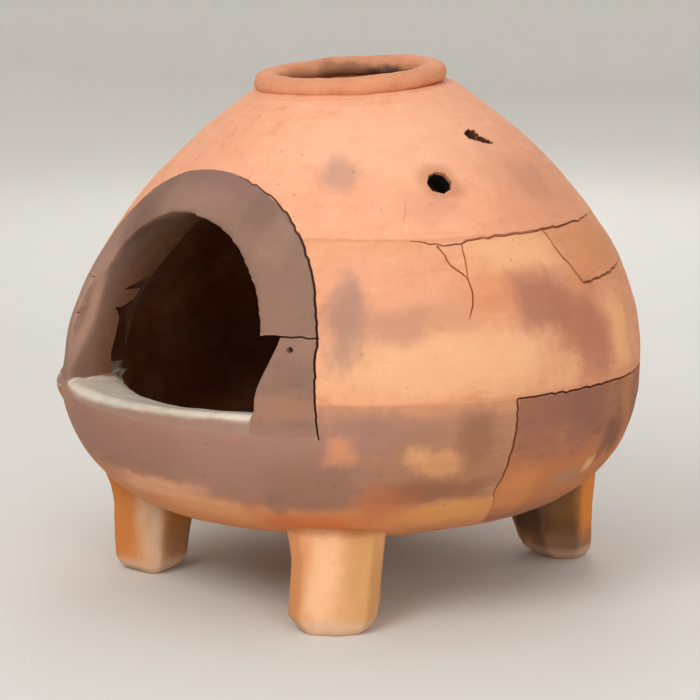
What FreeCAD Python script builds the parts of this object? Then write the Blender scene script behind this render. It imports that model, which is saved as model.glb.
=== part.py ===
import FreeCAD, Part
import math
import os
import Sketcher

# A squat fired-clay chiminea: a round pot built up in courses on four block feet, with an arched
# stoking mouth at the front (-Y), a raised sill, a small vent and a rolled rim round the flue.
# Millimetres, +Z up.  The origin is on the ground under the centre of the pot.

doc = FreeCAD.newDocument("chiminea")

# ---------------------------------------------------------------- driving dimensions
SIZES = [
    # the pot's outside profile: flat base, bowl arc, shoulder arc, dome arc
    ("belly_radius", 280.0),
    ("belly_height", 191.0),
    ("bowl_arc", 120.0),
    ("shoulder_arc", 235.0),
    ("shoulder_height", 318.0),
    ("dome_arc", 500.0),
    ("wall", 24.0),
    # the courses and the lap joints between them
    ("lower_seam", 215.0),
    ("upper_seam", 349.0),
    ("seam_gap", 1.2),
    ("lap_rise", 12.0),
    ("lower_lap_radius", 266.5),
    ("upper_lap_radius", 204.0),
    ("lap_play", 0.4),
    # neck and rim
    ("neck_radius", 96.0),
    ("neck_bottom", 437.0),
    ("neck_top", 467.0),
    ("flue_radius", 68.5),
    ("rim_ring", 80.5),
    ("rim_coil_radius", 11.5),
    ("rim_height", 475.0),
    # the mouth and the blocks of its surround
    ("mouth_top_outer", 170.0),
    ("mouth_centre_outer", 229.0),
    ("mouth_rake", 6.7),
    ("mouth_top_inner", 129.0),
    ("mouth_centre_inner", 233.0),
    ("mouth_shift_inner", -3.0),
    ("surround_depth", 57.0),
    ("block_gap", 1.0),
    ("left_joint_top", 291.0),
    ("left_joint_low", 258.0),
    ("right_joint", 271.0),
    # the sill
    ("sill_top", 194.0),
    ("sill_bottom", 168.0),
    ("sill_half_width", 176.0),
    ("sill_back_radius", 218.0),
    # small holes
    ("vent_radius", 11.75),
    ("vent_angle", 70.0),
    ("vent_height", 395.0),
    ("latch_hole_radius", 2.25),
    ("latch_hole_across", 150.0),
    ("latch_hole_height", 261.0),
    ("latch_hole_depth", 30.0),
    ("chip_angle", 92.0),
    ("chip_height", 428.0),
    ("chip_radius", 10.0),
    ("chip_lift", 6.0),
    # feet
    ("foot_ring", 198.0),
    ("foot_height", 118.0),
    ("foot_taper", 2.2),
    ("foot_corner", 16.0),
    ("foot_chamfer", 7.0),
    # ash in the bottom of the bowl
    ("ash_edge", 115.0),
    ("ash_crown", 126.0),
    # a length longer than the pot, for cutters
    ("reach", 700.0),
]

sheet = doc.addObject("Spreadsheet::Sheet", "sizes")
for row, (alias, value) in enumerate(SIZES, start=1):
    sheet.set(f"A{row}", alias)
    sheet.set(f"B{row}", str(value))
    sheet.setAlias(f"B{row}", alias)
doc.recompute()


def size(alias):
    """The number in the sheet's cell of this name."""
    return float(getattr(sheet, alias))


def bind(thing, **expressions):
    """Bind properties to expressions; a double underscore in a key stands for a dot."""
    for key, expression in expressions.items():
        thing.setExpression(key.replace("__", "."), expression)
    return thing


def plane(body, role):
    """The origin plane of this body that has the given role."""
    return next(o for o in body.Origin.OriginFeatures if o.Role == role)


def sketch_on(body, role, name):
    sketch = body.newObject("Sketcher::SketchObject", name)
    sketch.AttachmentSupport = [(plane(body, role), "")]
    sketch.MapMode = "FlatFace"
    return sketch


def point(x, z):
    return FreeCAD.Vector(x, z, 0)


def arc(cx, cz, radius, start, end):
    """A counter-clockwise arc in sketch coordinates, angles in radians."""
    circle = Part.Circle(point(cx, cz), FreeCAD.Vector(0, 0, 1), radius)
    return Part.ArcOfCircle(circle, start, end)


def constrain(sketch, kind, *where):
    return sketch.addConstraint(Sketcher.Constraint(kind, *where))


def dimension(sketch, label, expression, kind, *where):
    """A named driving dimension, bound to the sheet."""
    index = constrain(sketch, kind, *where)
    sketch.renameConstraint(index, label)
    sketch.setExpression(f"Constraints.{label}", expression)


# ---------------------------------------------------------------- profile of the pot
BOWL_X = size("belly_radius") - size("bowl_arc")
SHOULDER_X = size("belly_radius") - size("shoulder_arc")
MID_Z = size("belly_height")
TURN = math.asin((size("shoulder_height") - MID_Z) / size("shoulder_arc"))
DOME_X = SHOULDER_X - (size("dome_arc") - size("shoulder_arc")) * math.cos(TURN)
DOME_Z = MID_Z - (size("dome_arc") - size("shoulder_arc")) * math.sin(TURN)
BASE_Z = MID_Z - size("bowl_arc")


def outside_radius(z):
    """Radius of the pot's outside at a height between its base and its neck."""
    if z < MID_Z:
        return BOWL_X + math.sqrt(max(size("bowl_arc") ** 2 - (MID_Z - z) ** 2, 0.0))
    if z < size("shoulder_height"):
        return SHOULDER_X + math.sqrt(size("shoulder_arc") ** 2 - (z - MID_Z) ** 2)
    return DOME_X + math.sqrt(size("dome_arc") ** 2 - (z - DOME_Z) ** 2)


def revolve(body, sketch):
    turn = body.newObject("PartDesign::Revolution", sketch.Name + "_turn")
    turn.Profile = sketch
    turn.ReferenceAxis = (sketch, ["V_Axis"])
    turn.Angle = 360
    sketch.Visibility = False
    body.Tip = turn
    return body


def pot_shell(name, thickness):
    """The whole pot as one turned shell of the thickness in the named cell."""
    body = doc.addObject("PartDesign::Body", name)
    sketch = sketch_on(body, "XZ_Plane", name + "_profile")
    thick = size(thickness)
    neck = size("neck_radius")
    end_out = math.acos((neck - DOME_X) / size("dome_arc"))
    end_in = math.acos((neck - DOME_X) / (size("dome_arc") - thick))
    top_out = DOME_Z + size("dome_arc") * math.sin(end_out)
    top_in = DOME_Z + (size("dome_arc") - thick) * math.sin(end_in)
    floor = BASE_Z + thick
    sketch.addGeometry(
        [
            Part.LineSegment(point(0, BASE_Z), point(BOWL_X, BASE_Z)),
            arc(BOWL_X, MID_Z, size("bowl_arc"), -math.pi / 2, 0),
            arc(SHOULDER_X, MID_Z, size("shoulder_arc"), 0, TURN),
            arc(DOME_X, DOME_Z, size("dome_arc"), TURN, end_out),
            Part.LineSegment(point(neck, top_out), point(neck, top_in)),
            arc(DOME_X, DOME_Z, size("dome_arc") - thick, TURN, end_in),
            arc(SHOULDER_X, MID_Z, size("shoulder_arc") - thick, 0, TURN),
            arc(BOWL_X, MID_Z, size("bowl_arc") - thick, -math.pi / 2, 0),
            Part.LineSegment(point(BOWL_X, floor), point(0, floor)),
            Part.LineSegment(point(0, floor), point(0, BASE_Z)),
        ],
        False,
    )
    base, bowl, shoulder, dome, edge, dome_in, shoulder_in, bowl_in, floor_in, axis = range(10)
    start, end, centre = 1, 2, 3
    constrain(sketch, "Tangent", base, end, bowl, start)
    constrain(sketch, "Tangent", bowl, end, shoulder, start)
    constrain(sketch, "Tangent", shoulder, end, dome, start)
    constrain(sketch, "Coincident", dome, end, edge, start)
    constrain(sketch, "Coincident", edge, end, dome_in, end)
    constrain(sketch, "Tangent", dome_in, start, shoulder_in, end)
    constrain(sketch, "Tangent", shoulder_in, start, bowl_in, end)
    constrain(sketch, "Tangent", bowl_in, start, floor_in, start)
    constrain(sketch, "Coincident", floor_in, end, axis, start)
    constrain(sketch, "Coincident", axis, end, base, start)
    constrain(sketch, "PointOnObject", axis, start, -2)
    constrain(sketch, "PointOnObject", axis, end, -2)
    constrain(sketch, "Horizontal", base)
    constrain(sketch, "Horizontal", floor_in)
    constrain(sketch, "Vertical", edge)
    constrain(sketch, "Horizontal", bowl, centre, bowl, end)
    constrain(sketch, "Coincident", bowl, centre, bowl_in, centre)
    constrain(sketch, "Coincident", shoulder, centre, shoulder_in, centre)
    constrain(sketch, "Coincident", dome, centre, dome_in, centre)
    dimension(sketch, "bowl_arc", "sizes.bowl_arc", "Radius", bowl, size("bowl_arc"))
    dimension(sketch, "shoulder_arc", "sizes.shoulder_arc", "Radius", shoulder, size("shoulder_arc"))
    dimension(sketch, "dome_arc", "sizes.dome_arc", "Radius", dome, size("dome_arc"))
    dimension(sketch, "widest", "sizes.belly_radius", "DistanceX", -1, 1, bowl, end, size("belly_radius"))
    dimension(sketch, "widest_at", "sizes.belly_height", "DistanceY", -1, 1, bowl, end, MID_Z)
    dimension(
        sketch, "shoulder_at", "sizes.shoulder_height", "DistanceY", -1, 1, shoulder, end,
        size("shoulder_height"),
    )
    dimension(sketch, "neck", "sizes.neck_radius", "DistanceX", -1, 1, edge, start, neck)
    dimension(sketch, "thickness", f"sizes.{thickness}", "DistanceY", base, start, floor_in, end, thick)
    return revolve(body, sketch)


def pot_solid(name):
    """Everything inside the pot's outside surface up to the upper seam, as a cutter."""
    body = doc.addObject("PartDesign::Body", name)
    sketch = sketch_on(body, "XZ_Plane", name + "_profile")
    top = size("shoulder_height")
    top_x = outside_radius(top)
    sketch.addGeometry(
        [
            Part.LineSegment(point(0, BASE_Z), point(BOWL_X, BASE_Z)),
            arc(BOWL_X, MID_Z, size("bowl_arc"), -math.pi / 2, 0),
            arc(SHOULDER_X, MID_Z, size("shoulder_arc"), 0, TURN),
            Part.LineSegment(point(top_x, top), point(0, top)),
            Part.LineSegment(point(0, top), point(0, BASE_Z)),
        ],
        False,
    )
    base, bowl, shoulder, lid, axis = range(5)
    constrain(sketch, "Tangent", base, 2, bowl, 1)
    constrain(sketch, "Tangent", bowl, 2, shoulder, 1)
    constrain(sketch, "Coincident", shoulder, 2, lid, 1)
    constrain(sketch, "Coincident", lid, 2, axis, 1)
    constrain(sketch, "Coincident", axis, 2, base, 1)
    constrain(sketch, "PointOnObject", axis, 1, -2)
    constrain(sketch, "PointOnObject", axis, 2, -2)
    constrain(sketch, "Horizontal", base)
    constrain(sketch, "Horizontal", lid)
    constrain(sketch, "Horizontal", bowl, 3, bowl, 2)
    dimension(sketch, "bowl_arc", "sizes.bowl_arc", "Radius", bowl, size("bowl_arc"))
    dimension(sketch, "shoulder_arc", "sizes.shoulder_arc", "Radius", shoulder, size("shoulder_arc"))
    dimension(sketch, "widest", "sizes.belly_radius", "DistanceX", -1, 1, bowl, 2, size("belly_radius"))
    dimension(sketch, "widest_at", "sizes.belly_height", "DistanceY", -1, 1, bowl, 2, MID_Z)
    dimension(sketch, "top_at", "sizes.shoulder_height", "DistanceY", -1, 1, lid, 1, top)
    return revolve(body, sketch)


# ---------------------------------------------------------------- cutters
def cylinder(name, radius, bottom, top):
    """An upright cylinder on the axis; its sizes are expressions."""
    solid = doc.addObject("Part::Cylinder", name)
    bind(solid, Radius=radius, Height=f"({top}) - ({bottom})", Placement__Base__z=bottom)
    return solid


def box(name, x_low, x_high, y_low, y_high, z_low, z_high):
    """A box between six expressions."""
    solid = doc.addObject("Part::Box", name)
    bind(
        solid,
        Length=f"({x_high}) - ({x_low})",
        Width=f"({y_high}) - ({y_low})",
        Height=f"({z_high}) - ({z_low})",
        Placement__Base__x=x_low,
        Placement__Base__y=y_low,
        Placement__Base__z=z_low,
    )
    return solid


def cut(name, base, *tools):
    """The base with one or more tools taken away."""
    result = doc.addObject("Part::Cut", name)
    result.Base = base
    result.Tool = tools[0] if len(tools) == 1 else fuse(name + "_tools", *tools)
    return result


def common(name, *solids):
    result = doc.addObject("Part::MultiCommon", name)
    result.Shapes = list(solids)
    return result


def fuse(name, *solids):
    result = doc.addObject("Part::MultiFuse", name)
    result.Shapes = list(solids)
    return result


def arch_outline(radius, centre_x, centre_z, rake, foot_z):
    """Arch of one arc on two raked legs, from the right foot round to the left one."""
    right = (centre_x + radius * math.cos(rake), centre_z + radius * math.sin(rake))
    left = (centre_x - radius * math.cos(rake), right[1])
    spread = (right[1] - foot_z) * math.tan(rake)
    return [
        Part.LineSegment(point(right[0] + spread, foot_z), point(*right)),
        arc(centre_x, centre_z, radius, rake, math.pi - rake),
        Part.LineSegment(point(*left), point(left[0] - spread, foot_z)),
    ]


def pad_forward(body, sketch):
    """Pad a sketch of the front view towards -Y, past the pot's outside."""
    pad = body.newObject("PartDesign::Pad", sketch.Name + "_pad")
    pad.Profile = sketch
    bind(pad, Length="sizes.reach / 2")
    sketch.Visibility = False
    body.Tip = pad
    return body


def mouth_solid(name, inner):
    """The mouth's outer outline padded forward, or only its ring between outer and inner outlines."""
    body = doc.addObject("PartDesign::Body", name)
    sketch = sketch_on(body, "XZ_Plane", name + "_profile")
    foot = size("sill_top")
    rake = math.radians(size("mouth_rake"))
    outer = arch_outline(size("mouth_top_outer"), 0, size("mouth_centre_outer"), rake, foot)
    lines = list(outer)
    if inner:
        ring = arch_outline(
            size("mouth_top_inner"), size("mouth_shift_inner"), size("mouth_centre_inner"), 0.0, foot
        )
        lines += [Part.LineSegment(outer[2].EndPoint, ring[2].EndPoint)]
        lines += ring
        lines += [Part.LineSegment(ring[0].StartPoint, outer[0].StartPoint)]
    else:
        lines += [Part.LineSegment(outer[2].EndPoint, outer[0].StartPoint)]
    sketch.addGeometry(lines, False)
    # right leg, crown and left leg of the outer outline
    constrain(sketch, "Tangent", 0, 2, 1, 1)
    constrain(sketch, "Tangent", 1, 2, 2, 1)
    constrain(sketch, "Coincident", 2, 2, 3, 1)
    constrain(sketch, "Horizontal", 3)
    constrain(sketch, "PointOnObject", 1, 3, -2)
    constrain(sketch, "Symmetric", 0, 1, 2, 2, -2)
    dimension(sketch, "crown", "sizes.mouth_top_outer", "Radius", 1, size("mouth_top_outer"))
    dimension(
        sketch, "spring", "sizes.mouth_centre_outer", "DistanceY", -1, 1, 1, 3,
        size("mouth_centre_outer"),
    )
    dimension(sketch, "foot", "sizes.sill_top", "DistanceY", -1, 1, 0, 1, foot)
    right_foot = outer[0].StartPoint.x
    dimension(
        sketch, "spread",
        "(sizes.mouth_top_outer + (sizes.mouth_centre_outer - sizes.sill_top)"
        " * sin(sizes.mouth_rake * 1 deg)) / cos(sizes.mouth_rake * 1 deg)",
        "DistanceX", -1, 1, 0, 1, right_foot,
    )
    if inner:
        constrain(sketch, "Coincident", 3, 2, 6, 2)
        constrain(sketch, "Tangent", 4, 2, 5, 1)
        constrain(sketch, "Tangent", 5, 2, 6, 1)
        constrain(sketch, "Coincident", 4, 1, 7, 1)
        constrain(sketch, "Coincident", 7, 2, 0, 1)
        constrain(sketch, "Vertical", 4)
        constrain(sketch, "Vertical", 6)
        constrain(sketch, "Horizontal", 7)
        dimension(sketch, "soffit", "sizes.mouth_top_inner", "Radius", 5, size("mouth_top_inner"))
        dimension(
            sketch, "soffit_spring", "sizes.mouth_centre_inner", "DistanceY", -1, 1, 5, 3,
            size("mouth_centre_inner"),
        )
        dimension(
            sketch, "soffit_shift", "-sizes.mouth_shift_inner", "DistanceX", 5, 3, -1, 1,
            -size("mouth_shift_inner"),
        )
    return pad_forward(body, sketch)


shell = pot_shell("shell_form", "wall")
thick_shell = pot_shell("surround_form", "surround_depth")
pot = pot_solid("pot_form")
mouth = mouth_solid("mouth_form", inner=False)
arch = mouth_solid("arch_form", inner=True)
sill_notch = box(
    "sill_notch",
    "-sizes.sill_half_width - sizes.lap_play", "sizes.sill_half_width + sizes.lap_play",
    "-sizes.reach / 2", "0",
    "sizes.sill_bottom", "sizes.sill_top + 0.1",
)


# ---------------------------------------------------------------- courses of the pot
def course(name, bottom, top, lower_lap, upper_lap):
    """
    A ring of the shell between two seams.  Its inner half rises past the upper seam as a lap,
    and its own lower edge is rebated over the lap of the course below.
    """
    band = cylinder(name + "_band", "sizes.reach / 2", bottom, top)
    if upper_lap:
        lap = cylinder(name + "_lap", upper_lap, top, f"{top} + sizes.lap_rise")
        band = fuse(name + "_cutter", band, lap)
    ring = common(name + "_ring", shell, band)
    if lower_lap:
        rebate = cylinder(
            name + "_rebate", f"{lower_lap} + sizes.lap_play",
            bottom, f"{bottom} + sizes.lap_rise - sizes.seam_gap + sizes.lap_play",
        )
        ring = cut(name + "_lapped", ring, rebate)
    return ring


base_ring = course("bowl", "0", "sizes.lower_seam", None, "sizes.lower_lap_radius")
belly_ring = course(
    "belly", "sizes.lower_seam + sizes.seam_gap", "sizes.upper_seam",
    "sizes.lower_lap_radius", "sizes.upper_lap_radius",
)
dome_ring = course(
    "dome", "sizes.upper_seam + sizes.seam_gap", "sizes.reach", "sizes.upper_lap_radius", None
)
bowl_open = cut("bowl_open", base_ring, mouth, sill_notch)
belly_open = cut("belly_open", belly_ring, mouth)


# ---------------------------------------------------------------- sherds bounded by cracks
def sherd_prism(name, facing, near, outline):
    """
    A prism that points out of the pot at the angle facing, round from the front to the right.
    The outline is a list of (angle, height) on the pot's outside.  The prism starts at the
    distance near from the axis.
    """
    sketch = doc.addObject("Sketcher::SketchObject", name + "_outline")
    corners = []
    for angle, z in outline:
        reach = outside_radius(min(z, size("neck_top")))
        corners.append(point(reach * math.sin(math.radians(angle - facing)), z))
    for first, second in zip(corners, corners[1:] + corners[:1]):
        sketch.addGeometry(Part.LineSegment(first, second), False)
    for index in range(len(corners)):
        constrain(sketch, "Coincident", index, 2, (index + 1) % len(corners), 1)
    # the sketch stands upright, its normal pointing out of the pot
    upright = FreeCAD.Rotation(FreeCAD.Vector(1, 0, 0), 90)
    swing = FreeCAD.Rotation(FreeCAD.Vector(0, 0, 1), facing)
    out = FreeCAD.Vector(math.sin(math.radians(facing)), -math.cos(math.radians(facing)), 0)
    sketch.Placement = FreeCAD.Placement(out * near, swing.multiply(upright))
    prism = doc.addObject("Part::Extrusion", name + "_prism")
    prism.Base = sketch
    prism.DirMode = "Custom"
    prism.Dir = out
    prism.Solid = True
    bind(prism, LengthFwd="sizes.reach / 2")
    return prism


BOWL_SHERD = [(77, 240), (76, 140), (79, 84), (124, 84), (127, 150), (125, 240)]
SIDE_SHERD = [(95, 370), (96, 333), (100, 301), (127, 306), (125, 332), (128, 370)]
SMALL_SHERD = [(64, 370), (64, 350), (70, 317), (71, 343), (71, 370)]


def split_sherd(name, source, facing, near, outline):
    """Break a sherd out of a course: the sherd, which stays in its place, and the rest."""
    prism = sherd_prism(name, facing, near, outline)
    return common(name, source, prism), cut(name + "_rest", source, prism)


bowl_sherd, base_bowl = split_sherd("bowl_sherd", bowl_open, 100.0, 175.0, BOWL_SHERD)
side_sherd, belly_cracked = split_sherd("belly_sherd_side", belly_open, 111.0, 100.0, SIDE_SHERD)
small_sherd, belly_wall = split_sherd("belly_sherd_small", belly_cracked, 67.5, 100.0, SMALL_SHERD)


# ---------------------------------------------------------------- dome: vent and chip
def on_dome(angle, z, lift):
    """A place on the dome's outside, lifted along its normal, and the turn that points there."""
    tilt = math.asin((z - DOME_Z) / size("dome_arc"))
    around = math.radians(angle)
    radius = outside_radius(z) + lift * math.cos(tilt)
    base = FreeCAD.Vector(
        radius * math.sin(around), -radius * math.cos(around), z + lift * math.sin(tilt)
    )
    normal = FreeCAD.Vector(
        math.cos(tilt) * math.sin(around), -math.cos(tilt) * math.cos(around), math.sin(tilt)
    )
    return FreeCAD.Placement(base, FreeCAD.Rotation(FreeCAD.Vector(0, 0, 1), normal))


vent = doc.addObject("Part::Cylinder", "vent_bore")
bind(vent, Radius="sizes.vent_radius", Height="sizes.wall * 3")
vent.Placement = on_dome(size("vent_angle"), size("vent_height"), -2 * size("wall"))
chip = doc.addObject("Part::Sphere", "chip_scoop")
bind(chip, Radius="sizes.chip_radius")
chip.Placement = on_dome(size("chip_angle"), size("chip_height"), size("chip_lift"))
dome_cap = cut("dome_cap", dome_ring, mouth, vent, chip)


# ---------------------------------------------------------------- neck and rim
rim_coil = doc.addObject("Part::Torus", "rim_coil")
bind(
    rim_coil, Radius1="sizes.rim_ring", Radius2="sizes.rim_coil_radius",
    Placement__Base__z="sizes.rim_height",
)
collar_outside = cylinder("collar_outside", "sizes.neck_radius", "sizes.neck_bottom", "sizes.neck_top")
flue_bore = cylinder("flue_bore", "sizes.flue_radius", "sizes.neck_bottom - 10", "sizes.reach")
neck_collar = cut("neck_collar", collar_outside, flue_bore, rim_coil)


# ---------------------------------------------------------------- surround and sill
surround = common("surround", arch, thick_shell)


def block(name, x_low, x_high, z_low, z_high):
    """The stretch of the surround inside a box given by expressions."""
    stretch = box(name + "_stretch", x_low, x_high, "-sizes.reach / 2", "0", z_low, z_high)
    return common(name, surround, stretch)


LEFT = ("-sizes.reach / 2", "0")
RIGHT = ("0", "sizes.reach / 2")
left_lower = block("left_jamb_lower", *LEFT, "sizes.sill_top", "sizes.left_joint_low")
left_upper = block(
    "left_jamb_upper", *LEFT, "sizes.left_joint_low + sizes.block_gap", "sizes.left_joint_top"
)
right_whole = block("right_jamb_whole", *RIGHT, "sizes.sill_top", "sizes.right_joint")
under_left = box(
    "under_crown_left", *LEFT, "-sizes.reach / 2", "0", "0", "sizes.left_joint_top + sizes.block_gap"
)
under_right = box(
    "under_crown_right", *RIGHT, "-sizes.reach / 2", "0", "0", "sizes.right_joint + sizes.block_gap"
)
arch_crown = cut("arch_crown", surround, under_left, under_right)

# a blind hole bored straight back into the right jamb's face
hole_x = size("latch_hole_across")
hole_front = -math.sqrt(outside_radius(size("latch_hole_height")) ** 2 - hole_x ** 2)
latch_hole = doc.addObject("Part::Cylinder", "latch_hole")
bind(latch_hole, Radius="sizes.latch_hole_radius", Height="sizes.latch_hole_depth + 20")
latch_hole.Placement = FreeCAD.Placement(
    FreeCAD.Vector(hole_x, hole_front + size("latch_hole_depth"), size("latch_hole_height")),
    FreeCAD.Rotation(FreeCAD.Vector(1, 0, 0), 90),
)
right_jamb = cut("right_jamb", right_whole, latch_hole)

sill_box = box(
    "sill_box", "-sizes.sill_half_width", "sizes.sill_half_width",
    "-sizes.reach / 2", "0", "sizes.sill_bottom", "sizes.sill_top",
)
sill_back = cylinder("sill_back", "sizes.sill_back_radius", "0", "sizes.reach / 2")
sill_slab = common("sill_slab", pot, sill_box)
sill_ledge = cut("sill_ledge", sill_slab, sill_back)


# ---------------------------------------------------------------- ash
def ash_body():
    """A low heap that fills the bottom of the bowl."""
    body = doc.addObject("PartDesign::Body", "ash_body")
    sketch = sketch_on(body, "XZ_Plane", "ash_profile")
    radius = size("bowl_arc") - size("wall")
    floor = BASE_Z + size("wall")
    end = math.asin((size("ash_edge") - MID_Z) / radius)
    edge = point(BOWL_X + radius * math.cos(end), size("ash_edge"))
    crown = point(0, size("ash_crown"))
    sketch.addGeometry(
        [
            Part.LineSegment(point(0, floor), point(BOWL_X, floor)),
            arc(BOWL_X, MID_Z, radius, -math.pi / 2, end),
            Part.LineSegment(edge, crown),
            Part.LineSegment(crown, point(0, floor)),
        ],
        False,
    )
    constrain(sketch, "Tangent", 0, 2, 1, 1)
    constrain(sketch, "Coincident", 1, 2, 2, 1)
    constrain(sketch, "Coincident", 2, 2, 3, 1)
    constrain(sketch, "Coincident", 3, 2, 0, 1)
    constrain(sketch, "PointOnObject", 3, 1, -2)
    constrain(sketch, "PointOnObject", 3, 2, -2)
    constrain(sketch, "Horizontal", 0)
    dimension(sketch, "bed_arc", "sizes.bowl_arc - sizes.wall", "Radius", 1, radius)
    dimension(
        sketch, "middle", "sizes.belly_radius - sizes.bowl_arc", "DistanceX", -1, 1, 1, 3, BOWL_X
    )
    dimension(sketch, "level", "sizes.belly_height", "DistanceY", -1, 1, 1, 3, MID_Z)
    dimension(sketch, "edge_at", "sizes.ash_edge", "DistanceY", -1, 1, 1, 2, size("ash_edge"))
    dimension(sketch, "crown_at", "sizes.ash_crown", "DistanceY", -1, 1, 2, 2, size("ash_crown"))
    return revolve(body, sketch)


ash_bed = ash_body()


# ---------------------------------------------------------------- feet
def foot_block(name, across, deep):
    """A rounded block that widens upward, its bottom edge chamfered, centred on its own axis."""
    body = doc.addObject("PartDesign::Body", name + "_block")
    sketch = sketch_on(body, "XY_Plane", name + "_plan")
    corner = size("foot_corner")
    half_x = across / 2
    half_y = deep / 2
    lines = []
    for turn, (cx, cy) in enumerate([(1, -1), (1, 1), (-1, 1), (-1, -1)]):
        begin = (turn - 1) * math.pi / 2
        lines.append(
            arc(cx * (half_x - corner), cy * (half_y - corner), corner, begin, begin + math.pi / 2)
        )
    for index in range(4):
        lines.append(Part.LineSegment(lines[index].EndPoint, lines[(index + 1) % 4].StartPoint))
    sketch.addGeometry(lines, False)
    for index in range(4):
        constrain(sketch, "Tangent", index, 2, 4 + index, 1)
        constrain(sketch, "Tangent", 4 + index, 2, (index + 1) % 4, 1)
    for index in (4, 6):
        constrain(sketch, "Vertical", index)
    for index in (5, 7):
        constrain(sketch, "Horizontal", index)
    for index in (1, 2, 3):
        constrain(sketch, "Equal", 0, index)
    dimension(sketch, "corner", "sizes.foot_corner", "Radius", 0, corner)
    constrain(sketch, "Symmetric", 0, 3, 2, 3, -1, 1)
    constrain(sketch, "DistanceX", 2, 3, 1, 3, across - 2 * corner)
    constrain(sketch, "DistanceY", 0, 3, 1, 3, deep - 2 * corner)
    pad = body.newObject("PartDesign::Pad", name + "_pad")
    pad.Profile = sketch
    bind(pad, Length="sizes.foot_height", TaperAngle="sizes.foot_taper")
    sketch.Visibility = False
    doc.recompute()
    bottom = [
        f"Edge{n}" for n, edge in enumerate(pad.Shape.Edges, start=1) if edge.BoundBox.ZMax < 0.01
    ]
    chamfer = body.newObject("PartDesign::Chamfer", name + "_chamfer")
    chamfer.Base = (pad, bottom)
    bind(chamfer, Size="sizes.foot_chamfer")
    body.Tip = chamfer
    return body


# name, angle round from the front to the right, width across and depth along the radius
FEET = [
    ("foot_front_left", -42.0, 78.0, 76.0),
    ("foot_front_right", 42.0, 86.0, 80.0),
    ("foot_rear_left", -140.0, 80.0, 76.0),
    ("foot_rear_right", 140.0, 80.0, 76.0),
]
feet = []
for name, angle, across, deep in FEET:
    standing = foot_block(name, across, deep)
    around = math.radians(angle)
    place = FreeCAD.Vector(
        size("foot_ring") * math.sin(around), -size("foot_ring") * math.cos(around), 0
    )
    standing.Placement = FreeCAD.Placement(
        place, FreeCAD.Rotation(FreeCAD.Vector(0, 0, 1), angle)
    )
    feet.append(cut(name, standing, pot))


# ---------------------------------------------------------------- labels, checks and files
NODES = {
    "base_bowl": base_bowl,
    "bowl_sherd": bowl_sherd,
    "belly_wall": belly_wall,
    "belly_sherd_side": side_sherd,
    "belly_sherd_small": small_sherd,
    "dome_cap": dome_cap,
    "neck_collar": neck_collar,
    "rim_coil": rim_coil,
    "arch_crown": arch_crown,
    "left_jamb_upper": left_upper,
    "left_jamb_lower": left_lower,
    "right_jamb": right_jamb,
    "sill_ledge": sill_ledge,
    "ash_bed": ash_bed,
}
NODES.update({name: foot for (name, *_), foot in zip(FEET, feet)})
for label, node in NODES.items():
    node.Label = label

doc.recompute()
failed = [o.Name for o in doc.Objects if {"Invalid", "Error"} & set(o.State)]
if failed:
    raise RuntimeError(f"objects that failed: {failed}")
os.makedirs("parts", exist_ok=True)
for label, node in NODES.items():
    shape = node.Shape
    if shape.isNull() or not shape.isValid():
        raise RuntimeError(f"{label} has no valid shape")
    if len(shape.Solids) != 1:
        raise RuntimeError(f"{label} has {len(shape.Solids)} solids")
    shape.exportStep(f"parts/{label}.step")
    lim = shape.BoundBox
    print(
        f"{label:18s} volume {shape.Volume / 1000:9.1f} cm3   "
        f"x {lim.XMin:7.1f} {lim.XMax:7.1f}   y {lim.YMin:7.1f} {lim.YMax:7.1f}   "
        f"z {lim.ZMin:6.1f} {lim.ZMax:6.1f}"
    )
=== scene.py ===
# %% [markdown]
# # A squat clay chiminea
#
# A chiminea is a fired-clay stove for a garden.  This one is a round pot on four block feet, with
# an arched mouth at the front, a deep sill under it, a small vent and a rolled rim round the flue.
# The CAD model is the frame: it holds the sizes and the places of the pieces.  This lesson gives
# each piece its hand-made shape and its smoked, fire-clouded clay.

# %% Load the frame
import math

import bpy
import numpy as np
from mathutils import Matrix, Vector


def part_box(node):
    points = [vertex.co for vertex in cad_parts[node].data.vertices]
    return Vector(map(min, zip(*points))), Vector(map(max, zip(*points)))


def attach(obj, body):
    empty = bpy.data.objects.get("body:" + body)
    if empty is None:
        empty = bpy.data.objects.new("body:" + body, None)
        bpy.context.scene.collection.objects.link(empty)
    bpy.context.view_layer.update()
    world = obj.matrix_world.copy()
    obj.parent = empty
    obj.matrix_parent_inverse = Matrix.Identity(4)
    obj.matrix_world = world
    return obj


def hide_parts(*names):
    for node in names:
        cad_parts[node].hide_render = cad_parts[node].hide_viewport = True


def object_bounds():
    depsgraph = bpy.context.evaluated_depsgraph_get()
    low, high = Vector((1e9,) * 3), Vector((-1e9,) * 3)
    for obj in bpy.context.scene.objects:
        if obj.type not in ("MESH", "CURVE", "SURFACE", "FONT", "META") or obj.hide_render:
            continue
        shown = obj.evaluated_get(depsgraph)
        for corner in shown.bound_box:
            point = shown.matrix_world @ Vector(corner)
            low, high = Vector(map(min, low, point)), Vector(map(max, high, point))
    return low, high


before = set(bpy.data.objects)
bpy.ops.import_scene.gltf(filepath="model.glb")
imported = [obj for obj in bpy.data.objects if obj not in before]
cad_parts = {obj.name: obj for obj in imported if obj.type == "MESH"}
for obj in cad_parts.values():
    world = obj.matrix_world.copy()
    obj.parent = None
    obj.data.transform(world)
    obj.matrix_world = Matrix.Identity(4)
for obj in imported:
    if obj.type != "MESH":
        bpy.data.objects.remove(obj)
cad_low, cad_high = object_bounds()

print("frame", [round(v, 4) for v in cad_low], [round(v, 4) for v in cad_high])

# %% [markdown]
# ## Measures
#
# A potter turns the pot to one outline and everything else is fitted to it, so the outline comes
# first: a flat base, then three arcs that run into each other.  The heights of the seams, the sill
# and the rim are read from the frame's nodes, so that the clay stays where the design says.

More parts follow.
